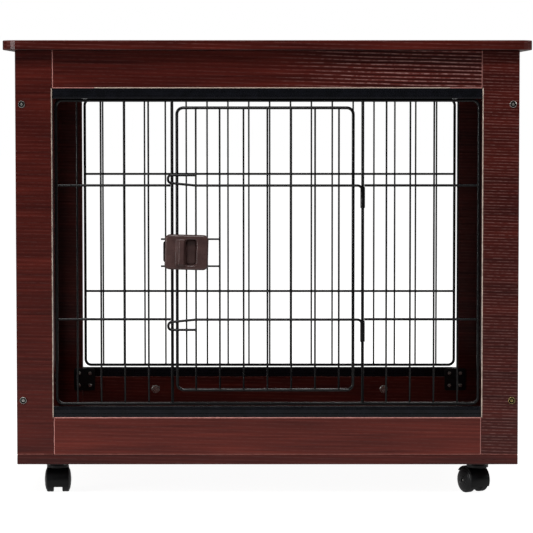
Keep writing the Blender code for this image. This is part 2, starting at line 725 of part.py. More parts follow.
def main():
    """Build the crate."""
    make_top_and_bottom()
    make_cross_frame("front", -BODY_DEPTH / 2, -BODY_DEPTH / 2 + BOARD)
    make_cross_frame("rear", BODY_DEPTH / 2 - BOARD, BODY_DEPTH / 2)
    make_side_frame("left", -1)
    make_side_frame("right", 1)
    make_front_frame_wire()
    make_front_grille("left", -1)
    make_front_grille("right", 1)
    rear_wires = max(FRONT_OUTER_WIRES)
    make_plain_panel("rear_panel", REAR, HALF_PANEL, [i * PITCH for i in range(-rear_wires, rear_wires + 1)])
    side_pitch = 2 * HALF_SIDE_PANEL / (SIDE_WIRES + 1)
    side_places = [-HALF_SIDE_PANEL + side_pitch * (i + 1) for i in range(SIDE_WIRES)]
    make_plain_panel("left_panel", LEFT, HALF_SIDE_PANEL, side_places)
    make_plain_panel("right_panel", RIGHT, HALF_SIDE_PANEL, side_places)
    axis, hinge = make_door()
    for piece in (make_latch_housing(), make_latch_cover(), make_latch_bolt()):
        hang(piece, axis, hinge)
    make_strips()
    make_corner_plates()
    make_cam_locks()
    make_frame_screws()
    for depth, y_side in (("front", -1), ("rear", 1)):
        for side, x_side in (("left", -1), ("right", 1)):
            make_castor(f"{depth}_{side}", x_side, y_side)


main()
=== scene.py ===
"""Looks of a furniture-style wire dog crate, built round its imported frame.

The crate is a case of cherry-foiled boards on four twin-wheel castors, with powder-coated
wire panels in its walls and a latched wire door in front. Lengths are in metres in the
frame's axes: +X right, +Y back, +Z up, with the origin on the floor.
"""
import json
import logging
import math
from collections.abc import Iterable, Sequence
from dataclasses import dataclass
from enum import Enum
from functools import cache

import bmesh
import bpy
from mathutils import Matrix, Vector


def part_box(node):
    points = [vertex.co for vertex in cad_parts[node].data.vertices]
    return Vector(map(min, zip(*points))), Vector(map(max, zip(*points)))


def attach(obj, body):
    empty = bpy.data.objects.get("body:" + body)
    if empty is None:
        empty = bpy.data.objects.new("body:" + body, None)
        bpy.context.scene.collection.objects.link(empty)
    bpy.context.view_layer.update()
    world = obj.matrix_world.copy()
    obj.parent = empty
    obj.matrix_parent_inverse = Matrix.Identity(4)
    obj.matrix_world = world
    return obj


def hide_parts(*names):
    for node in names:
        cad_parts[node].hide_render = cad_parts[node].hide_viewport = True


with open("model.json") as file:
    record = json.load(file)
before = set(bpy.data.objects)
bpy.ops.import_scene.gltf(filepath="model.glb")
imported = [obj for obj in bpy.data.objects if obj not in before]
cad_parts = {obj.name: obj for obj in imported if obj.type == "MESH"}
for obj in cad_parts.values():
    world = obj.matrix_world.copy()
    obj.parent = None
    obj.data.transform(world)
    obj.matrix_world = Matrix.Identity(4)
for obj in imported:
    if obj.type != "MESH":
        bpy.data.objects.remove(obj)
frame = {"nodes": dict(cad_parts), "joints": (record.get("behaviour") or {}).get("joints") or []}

LOG = logging.getLogger("wire_dog_crate")
MM = 0.001
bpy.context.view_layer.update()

Shape = bpy.types.Object
Mesh = bpy.types.Mesh
Material = bpy.types.Material
Tree = bpy.types.NodeTree
Socket = bpy.types.NodeSocket
Point = Vector | tuple[float, float, float]
Spot = tuple[float, float]
Outline = list[Spot]


# ---- Colours and nodes -------------------------------------------------------------------

def linear(colour: str) -> tuple[float, float, float, float]:
    """Turn an sRGB hex colour into linear RGBA.

    Args:
        colour: The colour as "#RRGGBB".

    Returns:
        Red, green, blue and an alpha of 1.
    """
    channels = [int(colour[i:i + 2], 16) / 255 for i in (1, 3, 5)]
    red, green, blue = (c / 12.92 if c <= 0.04045 else ((c + 0.055) / 1.055) ** 2.4 for c in channels)
    return red, green, blue, 1.0


def add_node(
    tree: Tree,
    kind: str,
    inputs: dict[str | int, object] | Sequence[object] = (),
    stops: Sequence[tuple[float, str]] = (),
    give: str | int = 0,
    **settings: object,
) -> Socket:
    """Add a node with its settings, its values and its links.

    Args:
        tree: The node tree it goes in.
        kind: The node's type name, after "ShaderNode".
        inputs: Values in order or by socket; a socket is linked, a "#" string is a colour.
        stops: A colour ramp's places and colours.
        give: The output that is wanted.
        **settings: The node's own properties.

    Returns:
        The wanted output.
    """
    node = tree.nodes.new("ShaderNode" + kind)
    for name, value in settings.items():
        setattr(node, name, value)
    for key, value in inputs.items() if isinstance(inputs, dict) else enumerate(inputs):
        if isinstance(value, Socket):
            tree.links.new(value, node.inputs[key])
        else:
            node.inputs[key].default_value = linear(value) if isinstance(value, str) else value
    for index, (place, colour) in enumerate(stops):
        elements = node.color_ramp.elements
        stop = elements[index] if index < len(elements) else elements.new(place)
        stop.position = place
        stop.color = linear(colour)
    return node.outputs[give] if node.outputs else None


@dataclass(frozen=True)
class Surface:
    """A material being made: its Principled shader and the object's own coordinates.

    Attributes:
        material: The material.
        tree: Its node tree.
        shader: Its Principled shader.
        place: Socket with the point's place in the object.
    """

    material: Material
    tree: Tree
    shader: bpy.types.Node
    place: Socket

    @classmethod
    def start(cls, name: str, **sockets: object) -> "Surface":
        """Start a material.

        Args:
            name: The material's name.
            **sockets: Constant values by socket name, with _ for a space.

        Returns:
            The surface to go on with.
        """
        material = bpy.data.materials.new(name)
        material.use_nodes = True
        tree = material.node_tree
        shader = tree.nodes["Principled BSDF"]
        for socket, value in sockets.items():
            value = linear(value) if isinstance(value, str) else value
            shader.inputs[socket.replace("_", " ")].default_value = value
        return cls(material, tree, shader, add_node(tree, "TexCoord", give="Object"))

    def drive(self, socket: str, value: Socket) -> None:
        """Link a value to one of the shader's sockets."""
        self.tree.links.new(value, self.shader.inputs[socket])

    def rough_by(self, value: Socket, low: float, high: float) -> None:
        """Let the roughness go from low to high as the value goes from 0 to 1."""
        self.drive("Roughness", add_node(self.tree, "MapRange", {0: value, 3: low, 4: high}))

    def raise_by(self, height: Socket, strength: float, distance: float) -> None:
        """Emboss the surface by a height."""
        inputs = {"Strength": strength, "Distance": distance, "Height": height}
        self.drive("Normal", add_node(self.tree, "Bump", inputs))

    def noise(self, size: float, detail: float = 2.0, roughness: float = 0.5) -> Socket:
        """Even noise with features of this size."""
        inputs = {"Vector": self.place, "Scale": 1 / size, "Detail": detail, "Roughness": roughness}
        return add_node(self.tree, "TexNoise", inputs)

    def off_axis(self) -> Socket:
        """Distance from the object's own Z axis."""
        flat = add_node(self.tree, "VectorMath", [self.place, (1.0, 1.0, 0.0)], operation="MULTIPLY")
        return add_node(self.tree, "VectorMath", [flat], give="Value", operation="LENGTH")


class Axis(Enum):
    """One of the frame's directions, by its place in a vector."""

    X = 0
    Y = 1
    Z = 2


class Slot(Enum):
    """The record's material slots."""

    CHERRY = "cherry_laminate"
    WIRE = "powder_coated_wire"
    FITTING = "black_fittings"
    LATCH = "brown_latch_plastic"
    ZINC = "zinc_fasteners"
    BRASS = "brass_fastener"
    CASTOR = "castor_plastic"
    WHEEL = "castor_wheel"


# ---- Finishes ----------------------------------------------------------------------------

@dataclass(frozen=True)
class PaleEdge:
    """Pale edge line of a board: foil worn through to its paper core, with a painted highlight.

    Attributes:
        axis: The direction that crosses the edge.
        at: The edge's place along it.
        width: How far the worn core and painted highlight reach in from the edge.
        tint: The line's colour, the core's with a painted highlight.
        breaks: 0 for an unbroken line, up to 1 for a broken one.
        run: The direction the edge runs.
        span: Where along that direction the wear starts and stops.
    """

    axis: Axis
    at: float
    width: float = 1.0 * MM
    tint: str = "#C98D86"
    breaks: float = 0.25
    run: Axis = Axis.X
    span: tuple[float, float] = (-9.0, 9.0)


@dataclass(frozen=True)
class CherryFoil:
    """Cherry-print paper foil, hot-pressed on fibreboard with an embossed grain.

    A semi-gloss lacquer over a dark red-brown print: long fine lines along the grain, a
    soft figure under them, and pressed ridges with a painted highlight on their crests and
    painted shade in their troughs.

    Attributes:
        name: The board's name.
        grain: The direction the grain runs.
        shift: Moves the pattern, so that no two boards match.
        ridges: Strength of the pressed ridges.
        ridge_spacing: How far apart the ridges are.
        ridge_span: Across this stretch along X the ridges grow to full strength.
        edges: The pale edges, worn core with a painted highlight.
        dark: Colour of the print's dark lines.
        middle: Colour of its ground.
        light: Colour of its light figure.
        crest_highlight: Painted highlight colour on the ridges' crests.
        trough_shade: Painted shade colour down between the ridges.
    """

    name: str
    grain: Axis = Axis.X
    shift: float = 0.0
    ridges: float = 0.1
    ridge_spacing: float = 5.9 * MM
    ridge_span: tuple[float, float] = (-2.0, -1.0)
    edges: tuple[PaleEdge, ...] = ()
    dark: str = "#340B08"
    middle: str = "#47130D"
    light: str = "#5B1C14"
    crest_highlight: str = "#AE8782"
    trough_shade: str = "#240605"

    LINE_SPACING = 3.4 * MM  # the print's lines are 0.3 mm apart; drawn coarser so that they show
    LINE_LENGTH = 150 * MM
    FIGURE_WIDTH = 26 * MM
    FIGURE_LENGTH = 240 * MM
    RIDGE_LENGTH = 50 * MM
    RIDGE_SLOPE = 0.03
    FAINT_RIDGES = 0.06  # the ridges' strength before they grow
    BREAK_LENGTH = 9 * MM
    WAVE_PERIOD = math.pi / 10  # of Blender's band texture at scale 1
    FACES_WAY = 0.75  # a normal's share along an axis, over which the face looks that way
    SQUARE_ON = 0.9  # the same for the face beyond a pale edge, which shows neither wear nor painted highlight
    ROUGHNESS = (0.24, 0.34)
    EMBOSS = (0.3, 0.5 * MM)
    LINE_RELIEF = 0.12  # height of the print's lines, in shares of a full ridge's

    def material(self) -> Material:
        """Build the foil's material.

        Returns:
            The foil's material.
        """
        surface = Surface.start(self.name, IOR=1.5, Specular_IOR_Level=0.32)
        tree = surface.tree
        spot = add_node(tree, "SeparateXYZ", [surface.place]).node.outputs
        normal = add_node(tree, "SeparateXYZ", [add_node(tree, "NewGeometry", give="True Normal")]).node
        facing = [add_node(tree, "Math", [part], operation="ABSOLUTE") for part in normal.outputs]
        along, across = self._grain_axes(tree, spot, facing)

        figure = self._streaks(tree, along, across, self.FIGURE_LENGTH, self.FIGURE_WIDTH, 2.0)
        lines = self._streaks(tree, along, across, self.LINE_LENGTH, self.LINE_SPACING, 3.0)
        tone = add_node(tree, "Mix", {0: 0.5, 2: figure, 3: lines})
        stops = ((0.34, self.dark), (0.5, self.middle), (0.68, self.light))
        colour = add_node(tree, "ValToRGB", [tone], stops)

        crests, hollows, relief = self._ridges(tree, along, across, spot)
        # Painted shade in the ridges' troughs, then a painted highlight on their crests.
        for share, tint in ((hollows, self.trough_shade), (crests, self.crest_highlight)):
            colour = add_node(tree, "Mix", {0: share, 6: colour, 7: tint}, give=2, data_type="RGBA")
        # Pale edge lines: worn paper core together with a painted highlight.
        for edge in self.edges:
            worn = self._wear_and_highlight(surface, edge, spot, facing)
            colour = add_node(tree, "Mix", {0: worn, 6: colour, 7: edge.tint}, give=2, data_type="RGBA")
        surface.drive("Base Color", colour)
        surface.rough_by(lines, *self.ROUGHNESS)
        height = add_node(tree, "Math", [lines, self.LINE_RELIEF, relief], operation="MULTIPLY_ADD")
        surface.raise_by(height, *self.EMBOSS)
        return surface.material

    def _grain_axes(
        self,
        tree: Tree,
        spot: Sequence[Socket],
        facing: Sequence[Socket],
    ) -> tuple[Socket, Socket]:
        """Give the coordinates along and across the grain on whichever face this is.

        Args:
            tree: The material's node tree.
            spot: The point's X, Y and Z.
            facing: Size of the face's normal along X, Y and Z.

        Returns:
            The coordinate along the grain and the one across it.
        """
        other = Axis.Y if self.grain is Axis.X else Axis.X
        ends, flats = (
            add_node(tree, "Math", [facing[axis.value], self.FACES_WAY], operation="GREATER_THAN")
            for axis in (self.grain, Axis.Z)
        )
        along = add_node(tree, "Mix", {0: ends, 2: spot[self.grain.value], 3: spot[other.value]})
        across = add_node(tree, "Mix", {0: flats, 2: spot[Axis.Z.value], 3: spot[other.value]})
        return along, across

    def _streaks(
        self,
        tree: Tree,
        along: Socket,
        across: Socket,
        length: float,
        width: float,
        detail: float,
    ) -> Socket:
        """Noise drawn out along the grain, from its feature length and width.

        Args:
            tree: The material's node tree.
            along: Coordinate along the grain.
            across: Coordinate across it.
            length: The streaks' length.
            width: Their width.
            detail: How much finer noise is in them.

        Returns:
            The noise, from 0 to 1.
        """
        drawn = add_node(tree, "Math", [along, 1 / length], operation="MULTIPLY")
        narrow = add_node(tree, "Math", [across, 1 / width], operation="MULTIPLY")
        vector = add_node(tree, "CombineXYZ", [drawn, narrow, self.shift])
        return add_node(tree, "TexNoise", {
            "Vector": vector, "Scale": 1.0, "Detail": detail, "Roughness": 0.6,
        })

    def _ridges(
        self,
        tree: Tree,
        along: Socket,
        across: Socket,
        spot: Sequence[Socket],
    ) -> tuple[Socket, ...]:
        """Pressed ridges: their painted highlight and painted shade shares, and the relief's height.

        Args:
            tree: The material's node tree.
            along: Coordinate along the grain.
            across: Coordinate across it.
            spot: The point's X, Y and Z.

        Returns:
            The two shares and the height.
        """
        squeeze = self.ridge_spacing / self.RIDGE_LENGTH
        drawn = add_node(tree, "Math", [along, squeeze], operation="MULTIPLY")
        sloping = add_node(tree, "Math", [along, self.RIDGE_SLOPE, across], operation="MULTIPLY_ADD")
        bands = add_node(tree, "TexWave", {
            "Vector": add_node(tree, "CombineXYZ", [drawn, self.shift, sloping]),
            "Scale": self.WAVE_PERIOD / self.ridge_spacing,
            "Distortion": 3.2,
            "Detail": 3.0,
            "Detail Scale": 0.8,
            "Detail Roughness": 0.6,
        }, bands_direction="Z")
        patches = self._streaks(tree, along, across, self.BREAK_LENGTH, self.ridge_spacing, 2.0)
        broken = add_node(tree, "MapRange", [patches, 0.38, 0.6, 0.15, 1.0])
        growing = [spot[0], *self.ridge_span, self.FAINT_RIDGES, self.ridges]
        growth = add_node(tree, "MapRange", growing, interpolation_type="SMOOTHSTEP")
        # Where the ridges' crests lie; a painted highlight goes there.
        crest_highlight = add_node(tree, "MapRange", [bands, 0.76, 1.0])
        # Where the troughs lie; painted shade goes there.
        trough = add_node(tree, "MapRange", [bands, 0.6, 0.2])
        shown = add_node(tree, "Math", [crest_highlight, broken], operation="MULTIPLY")
        crests = add_node(tree, "Math", [shown, growth], operation="MULTIPLY", use_clamp=True)
        hollows = add_node(tree, "Math", [trough, growth], operation="MULTIPLY", use_clamp=True)
        relief = add_node(tree, "Math", [bands, growth], operation="MULTIPLY")
        return crests, hollows, relief

    def _wear_and_highlight(
        self,
        surface: Surface,
        edge: PaleEdge,
        spot: Sequence[Socket],
        facing: Sequence[Socket],
    ) -> Socket:
        """How much of the pale line, worn core and painted highlight, shows along one edge.

        Args:
            surface: The material being made.
            edge: The pale edge.
            spot: The point's X, Y and Z.
            facing: Size of the face's normal along X, Y and Z.

        Returns:
            1 where the pale line is full, 0 where the foil is whole.
        """
        tree = surface.tree
        off = add_node(tree, "Math", [spot[edge.axis.value], edge.at], operation="SUBTRACT")
        off = add_node(tree, "Math", [off], operation="ABSOLUTE")
        near = add_node(tree, "MapRange", [off, edge.width, 0.6 * edge.width])
        in_front = add_node(tree, "Math", [facing[edge.axis.value], self.SQUARE_ON], operation="LESS_THAN")
        kept = add_node(
            tree, "MapRange", [surface.noise(self.BREAK_LENGTH), 0.35, 0.6, 1.0 - edge.breaks, 1.0]
        )
        # The pale line's share, worn core and painted highlight.
        worn = add_node(tree, "Math", [near, in_front], operation="MULTIPLY")
        worn = add_node(tree, "Math", [worn, kept], operation="MULTIPLY")
        for limit, side in zip(edge.span, ("GREATER_THAN", "LESS_THAN")):
            within = add_node(tree, "Math", [spot[edge.run.value], limit], operation=side)
            worn = add_node(tree, "Math", [worn, within], operation="MULTIPLY")
        return worn


@dataclass(frozen=True)
class PowderCoat:
    """Polyester powder coat, sprayed and baked on steel wire.

    Deep glossy black with a faint orange peel, a little thicker and duller in places.

    Attributes:
        name: The finish's name.
        colour: The coat's colour.
        worn: Its colour in the duller places.
    """

    name: str = "black_powder_coat"
    colour: str = "#060607"
    worn: str = "#0E0E10"

    PEEL = 2.2 * MM  # real orange peel is under 1 mm; drawn coarser so that it shows
    CLOUD = 40 * MM
    ROUGHNESS = (0.12, 0.3)

    def material(self) -> Material:
        """Build the coat's material.

        Returns:
            The coat's material.
        """
        surface = Surface.start(self.name, IOR=1.5, Specular_IOR_Level=0.3)
        cloud = surface.noise(self.CLOUD, detail=3.0)
        stops = ((0.4, self.colour), (0.75, self.worn))
        surface.drive("Base Color", add_node(surface.tree, "ValToRGB", [cloud], stops))
        surface.rough_by(cloud, *self.ROUGHNESS)
        surface.raise_by(surface.noise(self.PEEL), 0.1, 0.2 * MM)
        return surface.material


@dataclass(frozen=True)
class MouldedPlastic:
    """Injection-moulded plastic with a spark-eroded mould texture.

    Satin, with a fine pebbled skin and slightly darker and lighter flow marks.

    Attributes:
        name: The finish's name.
        dark: Colour in the hollows of the texture.
        light: Colour on its crests.
        roughness: How dull the skin is.
        pebble: Size of the mould texture's bumps.
        depth: Strength of the texture.
        shine: Specular level; filled plastics reflect less than clear ones.
    """

    name: str
    dark: str
    light: str
    roughness: float = 0.36
    pebble: float = 1.4 * MM  # real texture is about 0.2 mm; drawn coarser so that it shows
    depth: float = 0.2
    shine: float = 0.35

    FLOW_MARK = 14 * MM
    ROUGHNESS_SPREAD = 0.08

    def material(self) -> Material:
        """Build the plastic's material.

        Returns:
            The plastic's material.
        """
        surface = Surface.start(self.name, IOR=1.5, Specular_IOR_Level=self.shine)
        grit = surface.noise(self.pebble)
        tone = add_node(surface.tree, "Mix", {0: 0.3, 2: surface.noise(self.FLOW_MARK), 3: grit})
        stops = ((0.38, self.dark), (0.62, self.light))
        surface.drive("Base Color", add_node(surface.tree, "ValToRGB", [tone], stops))
        spread = self.ROUGHNESS_SPREAD
        surface.rough_by(grit, self.roughness - spread, self.roughness + spread)
        surface.raise_by(grit, self.depth, 0.15 * MM)
        return surface.material


@dataclass(frozen=True)
class RolledWheel:
    """Hard nylon castor wheel, moulded and then run in on the floor.

    Satin black face; the tread is scuffed to a dull charcoal.

    Attributes:
        name: The finish's name.
        face: Colour of the face.
        scuffed: Colour of the scuffed tread.
        tread_radius: The tread starts this far from the axle.
    """

    name: str = "castor_nylon"
    face: str = "#0B0B0D"
    scuffed: str = "#222224"
    tread_radius: float = 19.0 * MM

    SCUFF = 3 * MM
    TREAD_EDGE = 0.4 * MM
    ROUGHNESS = (0.32, 0.8)

    def material(self) -> Material:
        """Build the wheel's material; the axle is the object's own Z axis.

        Returns:
            The wheel's material.
        """
        surface = Surface.start(self.name, IOR=1.53, Specular_IOR_Level=0.25)
        tree = surface.tree
        edges = (self.tread_radius - self.TREAD_EDGE, self.tread_radius + self.TREAD_EDGE)
        tread = add_node(tree, "MapRange", [surface.off_axis(), *edges])
        scuffs = surface.noise(self.SCUFF, detail=4.0)
        worn = add_node(tree, "Math", [tread, scuffs], operation="MULTIPLY")
        mix = {0: worn, 6: self.face, 7: self.scuffed}
        surface.drive("Base Color", add_node(tree, "Mix", mix, give=2, data_type="RGBA"))
        surface.rough_by(worn, *self.ROUGHNESS)
        surface.raise_by(scuffs, 0.2, 0.15 * MM)
        return surface.material


@dataclass(frozen=True)
class PlatedSteel:
    """Barrel-plated steel fastener.

    Bright metal with a soft mottle where the plating is thicker.

    Attributes:
        name: The finish's name.
        bright: Colour of the plating.
        dull: Colour where it is clouded.
        roughness: Mean roughness.
        groove: Inner and outer radius of a groove coloured with a painted shade.
    """

    name: str
    bright: str
    dull: str
    roughness: float = 0.28
    groove: tuple[float, float] = (0.0, 0.0)

    CLOUD = 1.6 * MM
    # Colour of the painted shade in the groove.
    GROOVE_SHADE = "#100F0E"
    ROUGHNESS_SPREAD = 0.1

    def material(self) -> Material:
        """Build the plating's material.

        Returns:
            The plating's material.
        """
        surface = Surface.start(self.name, Metallic=1.0)
        cloud = surface.noise(self.CLOUD, detail=3.0)
        stops = ((0.35, self.dull), (0.6, self.bright))
        colour = add_node(surface.tree, "ValToRGB", [cloud], stops)
        # Painted shade in the groove round the socket.
        if self.groove[1]:
            groove_shade_mask = self._in_groove(surface)
            mix = {0: groove_shade_mask, 6: colour, 7: self.GROOVE_SHADE}
            colour = add_node(surface.tree, "Mix", mix, give=2, data_type="RGBA")
        surface.drive("Base Color", colour)
        spread = self.ROUGHNESS_SPREAD
        surface.rough_by(cloud, self.roughness - spread, self.roughness + spread)
        return surface.material

    def _in_groove(self, surface: Surface) -> Socket:
        """1 in the groove round the object's own Z axis, and 0 elsewhere.

        Args:
            surface: The material being made.

        Returns:
            That 1 or 0.
        """
        inner, outer = self.groove
        band = [surface.off_axis(), (inner + outer) / 2, (outer - inner) / 2]
        return add_node(surface.tree, "Math", band, operation="COMPARE")


Finish = CherryFoil | PowderCoat | MouldedPlastic | RolledWheel | PlatedSteel

WIRE_COAT = PowderCoat()
STRIP_PVC = MouldedPlastic(
    "extruded_pvc_channel", "#090A0E", "#101117", roughness=0.26, depth=0.06, shine=0.25
)
BRACKET_NYLON = MouldedPlastic("bracket_nylon", "#0A0A0C", "#131315")
LATCH_ABS = MouldedPlastic("brown_abs_latch", "#412C2A", "#513A37", roughness=0.3, depth=0.1, shine=0.5)
CASTOR_NYLON = MouldedPlastic("castor_hood_nylon", "#060607", "#0C0C0E", shine=0.25)
WHEEL_NYLON = RolledWheel()
BOLT_GROOVE = (2.6 * MM, 4.7 * MM)
ZINC = PlatedSteel("bright_zinc_plate", "#D9D8D2", "#A5A39C")
ZINC_BOLT = PlatedSteel("zinc_plated_bolt", "#F0EFEA", "#C9C7C0", groove=BOLT_GROOVE)
YELLOW_BOLT = PlatedSteel("yellow_zinc_bolt", "#E2CE8C", "#AC9556", groove=BOLT_GROOVE)


@cache
def material_of(finish: Finish) -> Material:
    """The finish's material, made once."""
    return finish.material()


# ---- Shapes ------------------------------------------------------------------------------

# Turns of local +Z, to the way that a part faces.
FORWARD = Matrix.Rotation(math.radians(90), 4, "X")
REARWARD = Matrix.Rotation(math.radians(-90), 4, "X")
DOWNWARD = Matrix.Rotation(math.radians(180), 4, "X")
OUT_LEFT = Matrix.Rotation(math.radians(-90), 4, "Y")
OUT_RIGHT = Matrix.Rotation(math.radians(90), 4, "Y")

# Stands a plate up in the YZ plane: local X, Y and Z turn to Y, Z and X.
STAND_UP = Matrix(((0, 0, 1, 0), (1, 0, 0, 0), (0, 1, 0, 0), (0, 0, 0, 1)))


def place_in_scene(name: str, mesh: Mesh) -> Shape:
    """Link a mesh to the scene as an object.

    Args:
        name: The object's name.
        mesh: Its mesh.

    Returns:
        The object.
    """
    shape = bpy.data.objects.new(name, mesh)
    bpy.context.scene.collection.objects.link(shape)
    return shape


def settled(shape: Shape) -> Shape:
    """Turn a shape with modifiers, or a curve, into a plain mesh object.

    Args:
        shape: The shape; it is used up.

    Returns:
        The mesh object, in the same place.
    """
    bpy.context.view_layer.update()
    evaluated = shape.evaluated_get(bpy.context.evaluated_depsgraph_get())
    mesh = bpy.data.meshes.new_from_object(evaluated)
    result = place_in_scene(shape.name, mesh)
    result.matrix_world = shape.matrix_world
    bpy.data.objects.remove(shape, do_unlink=True)
    return result


def loft(name: str, rings: Sequence[Sequence[Point]], closed: bool = False) -> Shape:
    """Skin through rings of points, counter-clockwise seen from the last ring.

    Args:
        name: The object's name.
        rings: The rings, all with as many points.
        closed: Whether the last ring joins the first; otherwise both ends are capped.

    Returns:
        The closed mesh object.
    """
    mesh = bpy.data.meshes.new(name)
    shape = bmesh.new()
    loops = [[shape.verts.new(point) for point in ring] for ring in rings]
    pairs = list(zip(loops, loops[1:] + loops[:1])) if closed else list(zip(loops, loops[1:]))
    for low, high in pairs:
        for i in range(len(low)):
            j = (i + 1) % len(low)
            shape.faces.new((low[i], low[j], high[j], high[i]))
    if not closed:
        shape.faces.new(reversed(loops[0]))
        shape.faces.new(loops[-1])
    bmesh.ops.recalc_face_normals(shape, faces=shape.faces)
    shape.to_mesh(mesh)
    shape.free()
    return place_in_scene(name, mesh)


def circle(radius: float, height: float, count: int) -> list[Vector]:
    """Ring of points round Z."""
    angles = [2 * math.pi * i / count for i in range(count)]
    return [Vector((radius * math.cos(a), radius * math.sin(a), height)) for a in angles]


def turned(
    name: str, profile: Iterable[tuple[float, float]], count: int, closed: bool = False
) -> Shape:
    """Solid of revolution about Z.

    Args:
        name: The object's name.
        profile: (radius, height) points from one end to the other, or round a closed section.
        count: Segments round the axis.
        closed: Whether the section is a closed one, clear of the axis.

    Returns:
        The mesh object.
    """
    return loft(name, [circle(radius, height, count) for radius, height in profile], closed)


def arc(centre: tuple[float, float], radius: float, start: float, end: float, steps: int) -> Outline:
    """Points on an arc, with its angles in degrees counter-clockwise from +X."""
    angles = [math.radians(start + (end - start) * i / steps) for i in range(steps + 1)]
    return [(centre[0] + radius * math.cos(a), centre[1] + radius * math.sin(a)) for a in angles]


def rounded_rectangle(
    left: float, right: float, low: float, high: float, radius: float, steps: int = 8
) -> Outline:
    """Outline of a rectangle with round corners.

    Args:
        left: Its left side.
        right: Its right side.
        low: Its lower side.
        high: Its upper side.
        radius: Radius of its corners.
        steps: Stretches on each corner.

    Returns:
        Its points, counter-clockwise.
    """
    return (
        arc((right - radius, high - radius), radius, 0, 90, steps)
        + arc((left + radius, high - radius), radius, 90, 180, steps)
        + arc((left + radius, low + radius), radius, 180, 270, steps)
        + arc((right - radius, low + radius), radius, 270, 360, steps)
    )


def centred(width: float, height: float, radius: float, steps: int = 8) -> Outline:
    """Outline of a rounded rectangle whose middle is the origin."""
    return rounded_rectangle(-width / 2, width / 2, -height / 2, height / 2, radius, steps)


def filleted(corners: Sequence[tuple[float, float]], radius: float, steps: int = 6) -> Outline:
    """Round the inner corners of a run of straight lines.

    Args:
        corners: The run's ends and corners.
        radius: Bend radius, made smaller where a leg is too short for it.
        steps: Points on each bend.

    Returns:
        The bent run's points.
    """
    points = [Vector(corner) for corner in corners]
    path = [points[0]]
    for before, corner, after in zip(points, points[1:], points[2:]):
        back, on = before - corner, after - corner
        half = back.angle(on) / 2
        reach = min(radius / math.tan(half), 0.499 * back.length, 0.499 * on.length)
        for i in range(steps + 1):
            t = i / steps
            start, end = corner + back.normalized() * reach, corner + on.normalized() * reach
            path.append(start * (1 - t) ** 2 + corner * 2 * t * (1 - t) + end * t ** 2)
    path.append(points[-1])
    return [tuple(point) for point in path]


def slab(name: str, outline: Outline, thickness: float, edge: float, stand: Matrix) -> Shape:
    """Flat plate with rounded edges, with its middle at the origin.

    Args:
        name: The object's name.
        outline: Its plan, counter-clockwise.
        thickness: Its thickness along local Z.
        edge: Radius of its rounded edges.
        stand: Turns the plate from the XY plane to where it stands.

    Returns:
        The mesh object.
    """
    half = thickness / 2
    rings = [[(x, y, side * half) for x, y in outline] for side in (-1, 1)]
    plate = loft(name, rings)
    rounding = plate.modifiers.new("rounding", "BEVEL")
    rounding.width = edge
    rounding.segments = 3
    rounding.limit_method = "ANGLE"
    rounding.angle_limit = math.radians(50)
    plate = settled(plate)
    plate.data.transform(stand)
    return plate


def merged(name: str, parts: list[Shape]) -> Shape:
    """Unite shapes that sink into each other into one closed body.

    Args:
        name: The new object's name.
        parts: The shapes; they are used up.

    Returns:
        The united mesh object.
    """
    base, *others = parts
    group = bpy.data.collections.new(name)
    for part in parts:
        part.data.transform(part.matrix_world)
        part.matrix_world = Matrix.Identity(4)
    for other in others:
        group.objects.link(other)
    union = base.modifiers.new("union", "BOOLEAN")
    union.operation = "UNION"
    union.solver = "EXACT"
    union.operand_type = "COLLECTION"
    union.collection = group
    tidy = base.modifiers.new("tidy", "WELD")
    tidy.merge_threshold = 0.02 * MM
    base.name = name
    result = settled(base)
    for other in others:
        bpy.data.objects.remove(other, do_unlink=True)
    return result


def grouped(name: str, parts: list[Shape]) -> Shape:
    """Put separate closed shapes, such as a set of screws, in one object.

    Args:
        name: The new object's name.
        parts: The shapes; they are used up.

    Returns:
        The one mesh object.
    """
    mesh = bpy.data.meshes.new(name)
    shape = bmesh.new()
    for part in parts:
        copy = part.data.copy()
        copy.transform(part.matrix_world)
        shape.from_mesh(copy)
        bpy.data.objects.remove(part, do_unlink=True)
    shape.to_mesh(mesh)
    shape.free()
    return place_in_scene(name, mesh)


def shade(shape: Shape, sharp: float = 38.0) -> Shape:
    """Shade a shape smooth, with corners over this angle in degrees kept sharp.

    Args:
        shape: The shape.
        sharp: The angle.

    Returns:
        The same shape.
    """
    shape.data.shade_smooth()
    shape.data.set_sharp_from_angle(angle=math.radians(sharp))
    return shape


@dataclass(frozen=True)
class Piece:
    """A finished piece and how it belongs to the crate.

    Attributes:
        name: Its name.
        shape: Its object, in place.
        finish: What it is made of.
        body: The body it moves with.
        slot: The record's slot for its finish; not used.
        stands_for: The frame's nodes that it replaces.
    """

    name: str
    shape: Shape
    finish: Finish
    body: str
    slot: Slot
    stands_for: tuple[str, ...] = ()

    def install(self) -> None:
        """Name, dress and hang the piece on its body."""
        self.shape.name = self.name
        self.shape.data.name = self.name
        self.shape.data.materials.clear()
        self.shape.data.materials.append(material_of(self.finish))
        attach(self.shape, self.body)
        if self.stands_for:
            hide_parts(*self.stands_for)
        LOG.info("%s rides on %s", self.name, self.body)


# ---- Walls and wires ---------------------------------------------------------------------

@dataclass(frozen=True)
class Wall:
    """The middle plane of one wall.

    Attributes:
        middle: A point of the plane, on the floor.
        across: Direction along the wall.
        inward: Direction into the crate.
    """

    middle: tuple[float, float, float]
    across: tuple[float, float, float]
    inward: tuple[float, float, float]

    def at(self, across: float, height: float, inward: float = 0.0) -> Vector:
        """The point this far across, this high and this far in."""
        flat = Vector(self.middle) + Vector(self.across) * across + Vector(self.inward) * inward
        return flat + Vector((0, 0, height))


